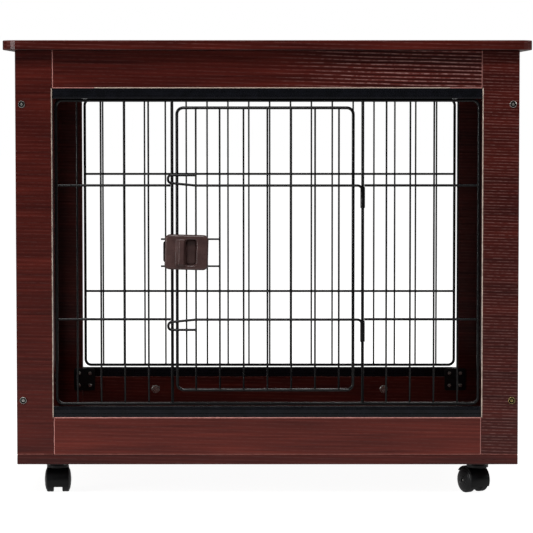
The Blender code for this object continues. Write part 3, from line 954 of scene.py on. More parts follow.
@dataclass(frozen=True)
class Gauge:
    """A size of wire.

    Attributes:
        radius: Its radius.
        sides: How many sides its skin has.
    """

    radius: float
    sides: int


THICK = Gauge(2.4 * MM, 18)
CROSS = Gauge(2.0 * MM, 14)
THIN = Gauge(1.5 * MM, 12)
ROD = Gauge(1.5 * MM, 12)
WELD_SINK = 0.7 * MM
UPRIGHT_TURN = 0.17  # turns an upright's flats away from those of the wires that it crosses


def drawn_wire(
    points: Sequence[Point], gauge: Gauge, closed: bool = False, turn: float = 0.1
) -> Shape:
    """Round wire along points.

    Args:
        points: The points of its middle line.
        gauge: Its size.
        closed: Whether it is a loop.
        turn: Turns its flats, so that crossing wires' flats don't lie in one plane.

    Returns:
        The wire's mesh object.
    """
    curve = bpy.data.curves.new("wire", "CURVE")
    curve.dimensions = "3D"
    curve.bevel_depth = gauge.radius
    curve.bevel_resolution = (gauge.sides - 4) // 2
    curve.use_fill_caps = True
    spline = curve.splines.new("POLY")
    spline.points.add(len(points) - 1)
    for knot, point in zip(spline.points, points):
        knot.co = (*point, 1.0)
        knot.tilt = turn
    spline.use_cyclic_u = closed
    holder = bpy.data.objects.new("wire", curve)
    bpy.context.scene.collection.objects.link(holder)
    wire = settled(holder)
    shape = bmesh.new()
    shape.from_mesh(wire.data)
    bmesh.ops.remove_doubles(shape, verts=shape.verts, dist=0.01 * MM)
    shape.to_mesh(wire.data)
    shape.free()
    return wire


def welded(name: str, wires: list[Shape]) -> Shape:
    """Unite crossing wires into one panel, shaded smooth."""
    return shade(merged(name, wires))


@dataclass
class WirePanels:
    """The fixed wire panels in the four walls.

    Attributes:
        pitch: Spacing of the thin uprights.
        cross_spread: Height of the cross wires above and below the panel's middle.
        corner: Bend radius of the loops' corners.
        gap: Clearance left between pieces that meet.
        front_outer: The front grilles' uprights, in pitches from the middle.
        jamb_pitches: The jambs' place, in pitches from the middle.
        side_wires: How many uprights a side panel has.
    """

    pitch: float = 37.6 * MM
    cross_spread: float = 106 * MM
    corner: float = 10 * MM
    gap: float = 0.3 * MM
    front_outer: tuple[int, ...] = (5, 6, 7, 8)
    jamb_pitches: int = 4
    side_wires: int = 10

    def __post_init__(self) -> None:
        """Take the panels' planes and extents from the frame."""
        low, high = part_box("front_panel_frame")
        self.low, self.high = low.z + THICK.radius, high.z - THICK.radius
        self.half_width = high.x - THICK.radius
        self.middle = (self.low + self.high) / 2
        front_y = (low.y + high.y) / 2
        side_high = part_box("right_panel")[1]
        side_x = side_high.x - THICK.radius
        self.half_depth = side_high.y - THICK.radius
        self.front = Wall((0, front_y, 0), (1, 0, 0), (0, 1, 0))
        self.rear = Wall((0, -front_y, 0), (1, 0, 0), (0, -1, 0))
        self.left = Wall((-side_x, 0, 0), (0, 1, 0), (1, 0, 0))
        self.right = Wall((side_x, 0, 0), (0, 1, 0), (-1, 0, 0))
        self.thin_inward = THICK.radius + THIN.radius - WELD_SINK
        self.grille_inward = THICK.radius + THIN.radius + self.gap
        self.cross_back = CROSS.radius + THIN.radius - WELD_SINK

    def loop(
        self, wall: Wall, left: float, right: float, low: float, high: float, inward: float = 0.0
    ) -> Shape:
        """Closed frame of thick wire with bent corners."""
        outline = rounded_rectangle(left, right, low, high, self.corner)
        return drawn_wire([wall.at(x, z, inward) for x, z in outline], THICK, closed=True)

    def uprights(self, wall: Wall, places: Iterable[float], inward: float) -> list[Shape]:
        """Thin uprights at these places.

        Args:
            wall: The wall's plane.
            places: The places, across the wall.
            inward: Their depth behind that plane.

        Returns:
            The wires.
        """
        return [
            drawn_wire([wall.at(x, z, inward) for z in (self.low, self.high)], THIN, turn=UPRIGHT_TURN)
            for x in places
        ]

    def cross_heights(self) -> tuple[float, float]:
        """Heights of the lower and the upper cross wire."""
        return self.middle - self.cross_spread, self.middle + self.cross_spread

    def cross_wires(self, wall: Wall, left: float, right: float, inward: float) -> list[Shape]:
        """The two cross wires between these ends.

        Args:
            wall: The wall's plane.
            left: Their left ends.
            right: Their right ends.
            inward: Their depth behind that plane.

        Returns:
            The wires, the lower one first.
        """
        return [
            drawn_wire([wall.at(left, z, inward), wall.at(right, z, inward)], CROSS)
            for z in self.cross_heights()
        ]

    def plain_panel(self, name: str, wall: Wall, half_width: float, places: list[float]) -> Shape:
        """Loop with uprights behind it and cross wires between the two.

        Args:
            name: The piece's name.
            wall: The wall's plane.
            half_width: Distance of its side wires from its middle.
            places: The uprights' places.

        Returns:
            The welded panel.
        """
        wires = [self.loop(wall, -half_width, half_width, self.low, self.high)]
        wires += self.cross_wires(wall, -half_width, half_width, self.thin_inward - self.cross_back)
        wires += self.uprights(wall, places, self.thin_inward)
        return welded(name, wires)

    def front_frame(self) -> Shape:
        """The front loop with the doorway's two jambs.

        Returns:
            The welded frame.
        """
        wires = [self.loop(self.front, -self.half_width, self.half_width, self.low, self.high)]
        for side in (-1, 1):
            x = side * self.jamb_pitches * self.pitch
            ends = [self.front.at(x, z) for z in (self.low, self.high)]
            wires.append(drawn_wire(ends, THICK, turn=UPRIGHT_TURN))
        return welded("front_loop_and_jambs", wires)

    def front_grille(self, name: str, side: int) -> Shape:
        """Grille between the front loop and a jamb.

        Args:
            name: The piece's name.
            side: -1 for the left grille, +1 for the right one.

        Returns:
            The welded grille.
        """
        jamb = self.jamb_pitches * self.pitch + THICK.radius + self.gap
        ends = sorted((side * jamb, side * (self.half_width - THICK.radius - self.gap)))
        wires = self.cross_wires(self.front, *ends, self.grille_inward - self.cross_back)
        places = [side * i * self.pitch for i in self.front_outer]
        wires += self.uprights(self.front, places, self.grille_inward)
        return welded(name, wires)

    def build(self) -> list[Piece]:
        """Make the six fixed pieces of wirework.

        Returns:
            The pieces.
        """
        last = max(self.front_outer)
        rear_places = [i * self.pitch for i in range(-last, last + 1)]
        step = 2 * self.half_depth / (self.side_wires + 1)
        side_places = [-self.half_depth + step * (i + 1) for i in range(self.side_wires)]
        flank = (self.half_depth, side_places)
        shapes = {
            "front_panel_frame": self.front_frame(),
            "front_left_grille": self.front_grille("grille_wires_left", -1),
            "front_right_grille": self.front_grille("grille_wires_right", 1),
            "rear_panel": self.plain_panel("rear_panel_wires", self.rear, self.half_width, rear_places),
            "left_panel": self.plain_panel("left_panel_wires", self.left, *flank),
            "right_panel": self.plain_panel("right_panel_wires", self.right, *flank),
        }
        return [
            Piece(shape.name, shape, WIRE_COAT, "case", Slot.WIRE, (node,))
            for node, shape in shapes.items()
        ]


# ---- Door and latch ----------------------------------------------------------------------

@dataclass
class Door:
    """The wire door: loop, uprights, hooked cross wires, hinge sleeves and guide rods.

    Attributes:
        panels: The panels it hangs between.
        side_edges: Middle lines of the loop's sides.
        height_span: Middle lines of its bottom and top wires.
        running_gap: Clearance in front of the jambs.
        wires_each_side: Uprights on each side of the middle one.
        hook_reach: How far left of the middle the stop hooks reach.
        hook_width: Distance between a hook's two legs.
        hook_rise: Distance of its free leg from the cross wire.
        hook_bend: Bend radius of the cross wires.
        hinge_drop: How far a cross wire's bent end reaches down.
        hinge_insets: Distances of that end's top and foot from the hinge's axis.
        sleeve_bore: Inner radius of a hinge sleeve.
        sleeve_radius: Its outer radius.
        sleeve_length: Its length.
        sleeve_edge: Rounding of its ends.
        sleeve_drop: Its clearance below the cross wire.
        sleeve_sides: Flats round it.
        rod_spread: Distance of the latch's guide rods from the middle, up and down.
        rod_left: The rods' left ends.
    """

    panels: WirePanels
    side_edges: tuple[float, float] = (-142.6 * MM, 135.3 * MM)
    height_span: tuple[float, float] = (167.8 * MM, 614.3 * MM)
    running_gap: float = 0.4 * MM
    wires_each_side: int = 3
    hook_reach: float = 156.6 * MM
    hook_width: float = 12 * MM
    hook_rise: float = 16.3 * MM
    hook_bend: float = 7.5 * MM
    hinge_drop: float = 14 * MM
    hinge_insets: tuple[float, float] = (1.8 * MM, 1.4 * MM)
    sleeve_bore: float = 2.75 * MM
    sleeve_radius: float = 3.7 * MM
    sleeve_length: float = 33 * MM
    sleeve_edge: float = 0.4 * MM
    sleeve_drop: float = 0.5 * MM
    sleeve_sides: int = 28
    rod_spread: float = 21.4 * MM
    rod_left: float = -168 * MM

    def __post_init__(self) -> None:
        """Work out the depths of its layers from the wires' sizes."""
        self.cross_depth = -(THICK.radius + CROSS.radius + self.running_gap)
        self.thin_depth = self.cross_depth + CROSS.radius + THIN.radius - WELD_SINK
        self.loop_depth = self.cross_depth + CROSS.radius + THICK.radius - WELD_SINK
        self.rod_depth = -(THICK.radius + ROD.radius + self.running_gap)
        hinge = next(joint for joint in frame["joints"] if joint["name"] == "door_swing")
        self.axis_x = hinge["pos_m"][0]

    def cross_wire(self, height: float, side: int) -> Shape:
        """Cross wire with a stop hook at its left and a hinge bend at its right.

        Args:
            height: The wire's height.
            side: +1 where the hook turns up, -1 where it turns down.

        Returns:
            The wire's mesh object.
        """
        root = -self.wires_each_side * self.panels.pitch
        tip, far = self.hook_rise, -self.hook_reach
        hook = [(root, tip), (far, tip), (far, tip - self.hook_width), (root, 0)]
        bend, foot = (self.axis_x - inset for inset in self.hinge_insets)
        corners = [(x, height + side * z) for x, z in hook]
        corners += [(bend, height), (foot, height - self.hinge_drop)]
        run = filleted(corners, self.hook_bend)
        return drawn_wire([self.panels.front.at(x, z, self.cross_depth) for x, z in run], CROSS)

    def sleeve(self, height: float) -> Shape:
        """Rolled hinge sleeve round the jamb, below a cross wire.

        Args:
            height: The cross wire's height.

        Returns:
            The sleeve, in place.
        """
        half, edge = self.sleeve_length / 2, self.sleeve_edge
        inner, outer = self.sleeve_bore, self.sleeve_radius
        section = [
            (inner, -half + edge), (inner + edge, -half), (outer - edge, -half), (outer, -half + edge),
            (outer, half - edge), (outer - edge, half), (inner + edge, half), (inner, half - edge),
        ]
        tube = turned("sleeve", section, self.sleeve_sides, closed=True)
        top = height - CROSS.radius - self.sleeve_drop
        tube.location = self.panels.front.at(self.axis_x, top - half)
        bpy.context.view_layer.update()
        return tube

    def build(self) -> list[Piece]:
        """Make the door.

        Returns:
            The door's one piece.
        """
        front = self.panels.front
        wires = [self.panels.loop(front, *self.side_edges, *self.height_span, self.loop_depth)]
        for i in range(-self.wires_each_side, self.wires_each_side + 1):
            ends = [front.at(i * self.panels.pitch, z, self.thin_depth) for z in self.height_span]
            wires.append(drawn_wire(ends, THIN, turn=UPRIGHT_TURN))
        for side, height in zip((-1, 1), self.panels.cross_heights()):
            wires += [self.cross_wire(height, side), self.sleeve(height)]
            level = self.panels.middle + side * self.rod_spread
            ends = [front.at(x, level, self.rod_depth) for x in (self.rod_left, -2 * self.panels.pitch)]
            wires.append(drawn_wire(ends, ROD))
        shape = welded("door_wires", wires)
        return [Piece("door_wires", shape, WIRE_COAT, "door", Slot.WIRE, ("door",))]


def smoothstep(start: float, end: float, value: float) -> float:
    """Smooth ramp from 0 at start to 1 at end."""
    t = min(1.0, max(0.0, (value - start) / (end - start)))
    return t * t * (3 - 2 * t)


def outside(across: float, up: float, half_width: float, half_height: float, corner: float) -> float:
    """Distance out from a rounded rectangle's outline, below 0 inside it."""
    over_x, over_z = abs(across) - half_width + corner, abs(up) - half_height + corner
    return math.hypot(max(over_x, 0), max(over_z, 0)) + min(max(over_x, over_z), 0) - corner


@dataclass
class Latch:
    """Sliding latch: moulded housing with a thumb grip, rear cover and bolt.

    Attributes:
        door: The door it slides on.
        centre: Middle of the housing's face, across and up.
        width: Housing's width.
        height: Housing's height.
        thickness: Housing's thickness at its face.
        corner: Radius of its corners.
        edge: Radius of its pillowed edge.
        tilt: How far the housing leans over.
        grid: Spacing of the housing's mesh.
        boss_width: Width of the boss behind the housing.
        boss_height: Its height.
        boss_left: Its left side.
        boss_sink: How far it starts inside the housing.
        bolt_x: Where the bolt's bar stands.
        bolt_spread: Distance of its legs from the middle, up and down.
        bolt_bend: Bend radius of the bolt.
        cover_corner: Corner radius of the rear cover.
        cover_screws: Places of its screws from its middle, across and up.
    """

    door: Door
    centre: tuple[float, float] = (-127.4 * MM, 387 * MM)
    width: float = 68.4 * MM
    height: float = 55.3 * MM
    thickness: float = 8.5 * MM
    corner: float = 8 * MM
    edge: float = 3.2 * MM
    tilt: float = math.radians(1.5)
    grid: float = 0.7 * MM
    boss_width: float = 5.6 * MM
    boss_height: float = 20 * MM
    boss_left: float = -139.8 * MM
    boss_sink: float = 2 * MM
    bolt_x: float = -163.4 * MM
    bolt_spread: float = 16 * MM
    bolt_bend: float = 4 * MM
    cover_corner: float = 5 * MM
    cover_screws: Spot = (6 * MM, 14 * MM)

    # Places on the face are from its middle; pairs say where a slope starts and ends.
    CROWN = 0.8 * MM
    RIDGE_RISE = (-17.5 * MM, -10.5 * MM)
    RIDGE_FALL = (-4.5 * MM, 0.0)
    RIDGE_END = (18.9 * MM, 20.9 * MM)
    RIDGE_HEIGHT = 7.5 * MM
    POCKET = (-1.5 * MM, 15.8 * MM, 20.5 * MM)  # left, right and half height of the finger pocket
    POCKET_CORNER = 5 * MM
    POCKET_WALL = 1.0 * MM
    POCKET_DEPTH = 8.0 * MM
    POCKET_SHELVE = (-4.5 * MM, -0.5 * MM)
    CREASE = 1.6 * MM
    CREASE_WIDTH = 1.2 * MM
    CREASE_GROWTH = (-10.5 * MM, 2.5 * MM)

    def relief(self, across: float, up: float) -> float:
        """Height of the face: pillowed edge, thumb ridge and finger pocket.

        Args:
            across: Place across the face, from its middle.
            up: Place up the face.

        Returns:
            The height over the flat back.
        """
        outline = outside(across, up, self.width / 2, self.height / 2, self.corner)
        depth = min(max(-outline, 0), self.edge)
        drop = self.edge - math.sqrt(self.edge ** 2 - (self.edge - depth) ** 2)
        crown = self.CROWN * (1 - (across / (self.width / 2)) ** 2)
        rise = smoothstep(*self.RIDGE_RISE, across)
        fall = smoothstep(*self.RIDGE_FALL, across)
        ends = 1 - smoothstep(*self.RIDGE_END, abs(up))
        left, right, half = self.POCKET
        rim = outside(across - (left + right) / 2, up, (right - left) / 2, half, self.POCKET_CORNER)
        pocket = 1 - smoothstep(-self.POCKET_WALL, 0.0, rim)
        shelve = smoothstep(*self.POCKET_SHELVE, across)
        crease = math.exp(-(rim / self.CREASE_WIDTH + 0.5) ** 2)
        crease *= smoothstep(*self.CREASE_GROWTH, across)
        face = self.thickness + crown - drop
        ridge = self.RIDGE_HEIGHT * (rise - fall) * ends
        return face + ridge - self.POCKET_DEPTH * pocket * shelve - self.CREASE * crease

    def housing_face(self) -> Shape:
        """The moulded housing, as a fine grid bent round its outline, with a flat back.

        Returns:
            The housing's mesh object.
        """
        columns = round(self.width / self.grid)
        rows = round(self.height / self.grid)
        mesh = bpy.data.meshes.new("housing")
        shape = bmesh.new()

        def spot(column: int, row: int) -> tuple[float, float]:
            """Grid point, with the corner squares bent into quarter discs.

            Args:
                column: Its column in the grid.
                row: Its row.

            Returns:
                Its place across and up.
            """
            across = (column / columns - 0.5) * self.width
            up = (row / rows - 0.5) * self.height
            a = (abs(across) - self.width / 2 + self.corner) / self.corner
            b = (abs(up) - self.height / 2 + self.corner) / self.corner
            if a > 0 and b > 0:
                bent_a, bent_b = a * math.sqrt(1 - b * b / 2), b * math.sqrt(1 - a * a / 2)
                across = math.copysign(self.width / 2 - self.corner * (1 - bent_a), across)
                up = math.copysign(self.height / 2 - self.corner * (1 - bent_b), up)
            return across, up

        sheets = []
        for height in (self.relief, lambda across, up: 0.0):
            sheet = []
            for column in range(columns + 1):
                points = [spot(column, row) for row in range(rows + 1)]
                sheet.append([shape.verts.new((x, -height(x, z), z)) for x, z in points])
            sheets.append(sheet)
        for sheet in sheets:
            for column in range(columns):
                for row in range(rows):
                    ahead, beside = sheet[column + 1], sheet[column]
                    shape.faces.new((beside[row], ahead[row], ahead[row + 1], beside[row + 1]))
        rim = [(column, 0) for column in range(columns)]
        rim += [(columns, row) for row in range(rows)]
        rim += [(column, rows) for column in range(columns, 0, -1)]
        rim += [(0, row) for row in range(rows, 0, -1)]
        front, back = sheets
        for (c0, r0), (c1, r1) in zip(rim, rim[1:] + rim[:1]):
            shape.faces.new((front[c0][r0], back[c0][r0], back[c1][r1], front[c1][r1]))
        bmesh.ops.recalc_face_normals(shape, faces=shape.faces)
        shape.to_mesh(mesh)
        shape.free()
        return place_in_scene("housing", mesh)

    def housing(self) -> Shape:
        """Housing with the boss that reaches back between the wires.

        Returns:
            The united mesh object, in place.
        """
        wall = self.door.panels.front
        back = self.door.rod_depth - ROD.radius - self.door.running_gap
        body = self.housing_face()
        body.location = wall.at(*self.centre, back)
        body.rotation_euler = (0, self.tilt, 0)
        start = body.location.y - self.boss_sink
        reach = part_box("latch_rear_cover")[0].y - start - self.door.panels.gap
        outline = centred(self.boss_width, self.boss_height, 1.5 * MM, steps=3)
        boss = slab("boss", outline, reach, 0.3 * MM, FORWARD)
        boss.location = (self.boss_left + self.boss_width / 2, start + reach / 2, self.centre[1])
        bpy.context.view_layer.update()
        return shade(merged("latch_grip_housing", [body, boss]), sharp=30)

    def cover(self) -> list[Piece]:
        """Rear cover with its two screws.

        Returns:
            The cover and its screws.
        """
        low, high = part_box("latch_rear_cover")
        size, middle = high - low, (low + high) / 2
        plate = slab("plate", centred(size.x, size.z, self.cover_corner), size.y, 0.9 * MM, FORWARD)
        plate.location = middle
        right, rise = self.cover_screws
        spots = [(middle.x + right, high.y, middle.z + up) for up in (-rise, rise)]
        screws = screw_set(Screw(2.6 * MM, 1.0 * MM, Recess.CROSS), spots, REARWARD)
        covers = ("latch_rear_cover",)
        return [
            Piece("latch_back_plate", shade(plate), LATCH_ABS, "latch", Slot.LATCH, covers),
            Piece("latch_back_screws", screws, ZINC, "latch", Slot.ZINC),
        ]

    def bolt(self) -> Shape:
        """U-shaped bolt of round bar, behind the jamb.

        Returns:
            The bolt, in place.
        """
        low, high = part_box("latch_bolt")
        depth = (low.y + high.y) / 2
        legs = [(high.x, self.bolt_spread), (self.bolt_x, self.bolt_spread)]
        legs += [(x, -z) for x, z in reversed(legs)]
        path = filleted([(x, self.centre[1] + z) for x, z in legs], self.bolt_bend)
        return shade(drawn_wire([(x, depth, z) for x, z in path], ROD))

    def build(self) -> list[Piece]:
        """Make the latch.

        Returns:
            The pieces.
        """
        return [
            Piece("latch_grip_housing", self.housing(), LATCH_ABS, "latch", Slot.LATCH, ("latch_housing",)),
            *self.cover(),
            Piece("latch_bolt_bar", self.bolt(), WIRE_COAT, "latch", Slot.WIRE, ("latch_bolt",)),
        ]


# ---- Fasteners ---------------------------------------------------------------------------

class Recess(Enum):
    """The drive cut in a fastener's head, with the head's profile.

    The profile is in shares of the head's radius and height. A socket screw has a groove
    between its rim and its middle.
    """

    HEX = (
        (1.0, 0.5), (0.98, 0.8), (0.92, 0.95), (0.84, 0.95), (0.77, 0.8), (0.74, 0.15), (0.44, 0.15),
        (0.41, 0.75), (0.36, 0.95), (0.28, 1.0),
    )
    CROSS = ((0.99, 0.4), (0.95, 0.66), (0.87, 0.85), (0.76, 0.96), (0.66, 1.0))


@dataclass(frozen=True)
class Screw:
    """Head of a screw or cam with a drive recess.

    Attributes:
        radius: The head's radius.
        height: How far it stands proud.
        recess: Its drive.
        count: Points round it.
    """

    radius: float
    height: float
    recess: Recess
    count: int = 48

    # In shares of the head's radius: a hexagon's radius to its corners, and a cross's radius
    # between its arms and what the arms add to it.
    HEX_CORNER = 0.2
    CROSS_INNER = 0.16
    CROSS_ARMS = 0.42

    def drive(self, angle: float) -> float:
        """Radius of the recess in this direction.

        Args:
            angle: The direction, in radians.

        Returns:
            The radius.
        """
        if self.recess is Recess.HEX:
            sixth = math.pi / 3
            inside = self.HEX_CORNER * self.radius * math.cos(sixth / 2)
            return inside / math.cos((angle % sixth) - sixth / 2)
        return self.radius * (self.CROSS_INNER + self.CROSS_ARMS * abs(math.cos(2 * angle)) ** 8)

    def at(self, place: Point, turn: Matrix) -> Shape:
        """Make the head at this place.

        Args:
            place: Middle of its seat.
            turn: Turns local +Z to the way it faces.

        Returns:
            The head's mesh object.
        """
        tall, wide = self.height, self.radius
        angles = [2 * math.pi * i / self.count for i in range(self.count)]
        socket = [(self.drive(a) * math.cos(a), self.drive(a) * math.sin(a)) for a in angles]
        floor = 0.25 * tall
        # The foot, the profile, the recess's rim and walls, and its dished floor.
        rings = [circle(wide * 0.96, 0, self.count), circle(wide, 0.12 * tall, self.count)]
        rings += [circle(wide * r, tall * z, self.count) for r, z in self.recess.value]
        rings += [[Vector((1.06 * x, 1.06 * y, tall)) for x, y in socket]]
        rings += [[Vector((x, y, height)) for x, y in socket] for height in (0.93 * tall, floor)]
        rings += [[Vector((0.1 * x, 0.1 * y, 0.2 * floor)) for x, y in socket]]
        head = loft("head", rings)
        head.matrix_world = Matrix.Translation(place) @ turn
        bpy.context.view_layer.update()
        return head


def screw_set(head: Screw, spots: Iterable[Point], turn: Matrix) -> Shape:
    """Several heads in one object, all turned the same way."""
    return shade(grouped("screws", [head.at(spot, turn) for spot in spots]))


@dataclass
class Fixings:
    """Channels, joint brackets, cam locks and screws of the case.

    Attributes:
        lip: Rounding of a channel's lips.
        line: Depth of the fine lines along its sides.
        line_heights: Where they start, in shares of its height.
        slot_width: Width of its slot, in shares of its own width.
        slot_depth: Depth of its slot.
        gap: Clearance between a channel and its rail.
        bracket_corner: Corner radius of a bracket.
        bracket_edge: Rounding of its edges.
        bracket_screws: Places of its screws from its middle, across and up.
        side_cams: Places of a side rail's cams from its middle.
        cam: The cams' heads.
    """

    lip: float = 1.0 * MM
    line: float = 0.5 * MM
    line_heights: tuple[float, ...] = (0.3, 0.7)
    slot_width: float = 0.42
    slot_depth: float = 4 * MM
    gap: float = 0.3 * MM
    bracket_corner: float = 4 * MM
    bracket_edge: float = 0.5 * MM
    bracket_screws: Spot = (10 * MM, 11 * MM)
    side_cams: tuple[float, ...] = (-150 * MM, 150 * MM)
    cam: Screw = Screw(7.4 * MM, 1.0 * MM, Recess.CROSS)

    def channel(self, low: Vector, high: Vector, along: Axis, up: int) -> Shape:
        """Extruded channel with rounded lips and a slot towards the opening.

        Args:
            low: Lowest corner of its box.
            high: Highest corner.
            along: Direction it runs.
            up: +1 where its slot faces up, -1 where it faces down.

        Returns:
            The channel's mesh object.
        """
        across = Axis.Y if along is Axis.X else Axis.X
        half = (high[across.value] - low[across.value]) / 2
        middle = (high[across.value] + low[across.value]) / 2
        tall = high.z - low.z
        slot, lip, line = self.slot_width * half, self.lip, self.line
        right_side = [(half, 0.0)]
        for start in (share * tall for share in self.line_heights):
            right_side += [(half, start), (half - line, start + line), (half, start + 2 * line)]
        right_side += [
            (half, tall - lip), (half - 0.3 * lip, tall - 0.3 * lip), (half - lip, tall),
            (slot + lip, tall), (slot, tall - lip), (slot, tall - self.slot_depth),
        ]
        section = right_side + [(-x, z) for x, z in reversed(right_side)]
        base = low.z if up > 0 else high.z
        rings = []
        for end in (low[along.value], high[along.value]):
            ring = []
            for x, z in section:
                point = Vector((0, 0, base + up * z))
                point[along.value] = end
                point[across.value] = middle + x
                ring.append(point)
            rings.append(ring)
        return loft("channel", rings)

    def channels(self) -> list[Piece]:
        """The channels that hold the panels, in the frame and in the side walls.

        Returns:
            The pieces.
        """
        pieces = []
        for place in ("front", "rear"):
            for level, up in (("bottom", 1), ("top", -1)):
                node, name = f"{place}_{level}_strip", f"{place}_{level}_channel"
                shape = shade(self.channel(*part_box(node), Axis.X, up), sharp=25)
                pieces.append(Piece(name, shape, STRIP_PVC, "case", Slot.FITTING, (node,)))
        strip_low, strip_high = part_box("front_bottom_strip")
        tall, half = strip_high.z - strip_low.z, (strip_high.y - strip_low.y) / 2
        for place in ("left", "right"):
            panel_low, panel_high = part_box(f"{place}_panel")
            middle = panel_low.x + THICK.radius if place == "left" else panel_high.x - THICK.radius
            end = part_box(f"{place}_bottom_rail")[1].y
            for level, up in (("bottom", 1), ("top", -1)):
                rail_low, rail_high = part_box(f"{place}_{level}_rail")
                edge = rail_high.z + self.gap if up > 0 else rail_low.z - self.gap - tall
                low = Vector((middle - half, -end, edge))
                high = Vector((middle + half, end, edge + tall))
                shape = shade(self.channel(low, high, Axis.Y, up), sharp=25)
                pieces.append(Piece(f"{place}_{level}_channel", shape, STRIP_PVC, "case", Slot.FITTING))
        return pieces

    def brackets(self) -> list[Piece]:
        """Black joint brackets inside the rear frame, each with four screws.

        Returns:
            The pieces.
        """
        pieces = []
        top_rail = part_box("rear_top_rail")[0].z
        bottom_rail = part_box("rear_bottom_rail")[1].z
        for place in ("left", "right"):
            node = f"rear_{place}_corner_plate"
            low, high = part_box(node)
            size, middle = high - low, (low + high) / 2
            raised = top_rail + (bottom_rail - middle.z)
            for level, height in (("lower", middle.z), ("upper", raised)):
                outline = centred(size.x, size.z, self.bracket_corner)
                plate = slab("bracket", outline, size.y, self.bracket_edge, FORWARD)
                plate.location = (middle.x, middle.y, height)
                name = f"rear_{level}_{place}_bracket"
                stands_for = (node,) if level == "lower" else ()
                pieces.append(Piece(name, shade(plate), BRACKET_NYLON, "case", Slot.FITTING, stands_for))
                right, rise = self.bracket_screws
                spots = [
                    (middle.x + x, low.y, height + z) for x in (-right, right) for z in (-rise, rise)
                ]
                screws = screw_set(Screw(3.2 * MM, 1.3 * MM, Recess.CROSS), spots, FORWARD)
                pieces.append(Piece(f"{name}_screws", screws, ZINC, "case", Slot.ZINC))
        return pieces

    def cams(self) -> list[Piece]:
        """Cam locks let into the inner faces of the bottom rails.

        Returns:
            The pieces.
        """
        pieces = []
        for place in ("left", "right"):
            node = f"cam_lock_{place}"
            low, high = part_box(node)
            middle = (low + high) / 2
            shape = shade(self.cam.at((middle.x, high.y, middle.z), FORWARD))
            pieces.append(Piece(f"rear_rail_cam_{place}", shape, ZINC, "case", Slot.ZINC, (node,)))
            rail_low, rail_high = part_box(f"{place}_bottom_rail")
            face, turn = (rail_high.x, OUT_RIGHT) if place == "left" else (rail_low.x, OUT_LEFT)
            pair = screw_set(self.cam, [(face, y, middle.z) for y in self.side_cams], turn)
            pieces.append(Piece(f"{place}_rail_cams", pair, ZINC, "case", Slot.ZINC))
        return pieces

    def frame_screws(self) -> list[Piece]:
        """The four socket screws on the front stiles; the lower right one is yellow.

        Returns:
            The pieces.
        """
        pieces = []
        for level in ("lower", "upper"):
            for place in ("left", "right"):
                node = f"frame_screw_{level}_{place}"
                low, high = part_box(node)
                middle = (low + high) / 2
                brass = level == "lower" and place == "right"
                head = Screw((high.x - low.x) / 2, high.y - low.y, Recess.HEX)
                shape = head.at((middle.x, high.y, middle.z), FORWARD)
                finish, slot = (YELLOW_BOLT, Slot.BRASS) if brass else (ZINC_BOLT, Slot.ZINC)
                name = f"stile_screw_{level}_{place}"
                pieces.append(Piece(name, shade(shape), finish, "case", slot, (node,)))
        return pieces

    def build(self) -> list[Piece]:
        """Make all the fixings."""
        return self.channels() + self.brackets() + self.cams() + self.frame_screws()


# ---- Boards ------------------------------------------------------------------------------

# Pale edge colours, worn paper core and painted highlight together: pink where the core shows,
# cream where a painted reflection lies on it, darker where it is still thinly covered, and dull where it is
# rubbed.
PINK_CORE_AND_HIGHLIGHT = "#CE9088"
CREAM_CORE_AND_REFLECTION = "#DDCBBB"
FOOT_CORE_AND_HIGHLIGHT = "#A86A60"
RUBBED_CORE_AND_HIGHLIGHT = "#7A4038"


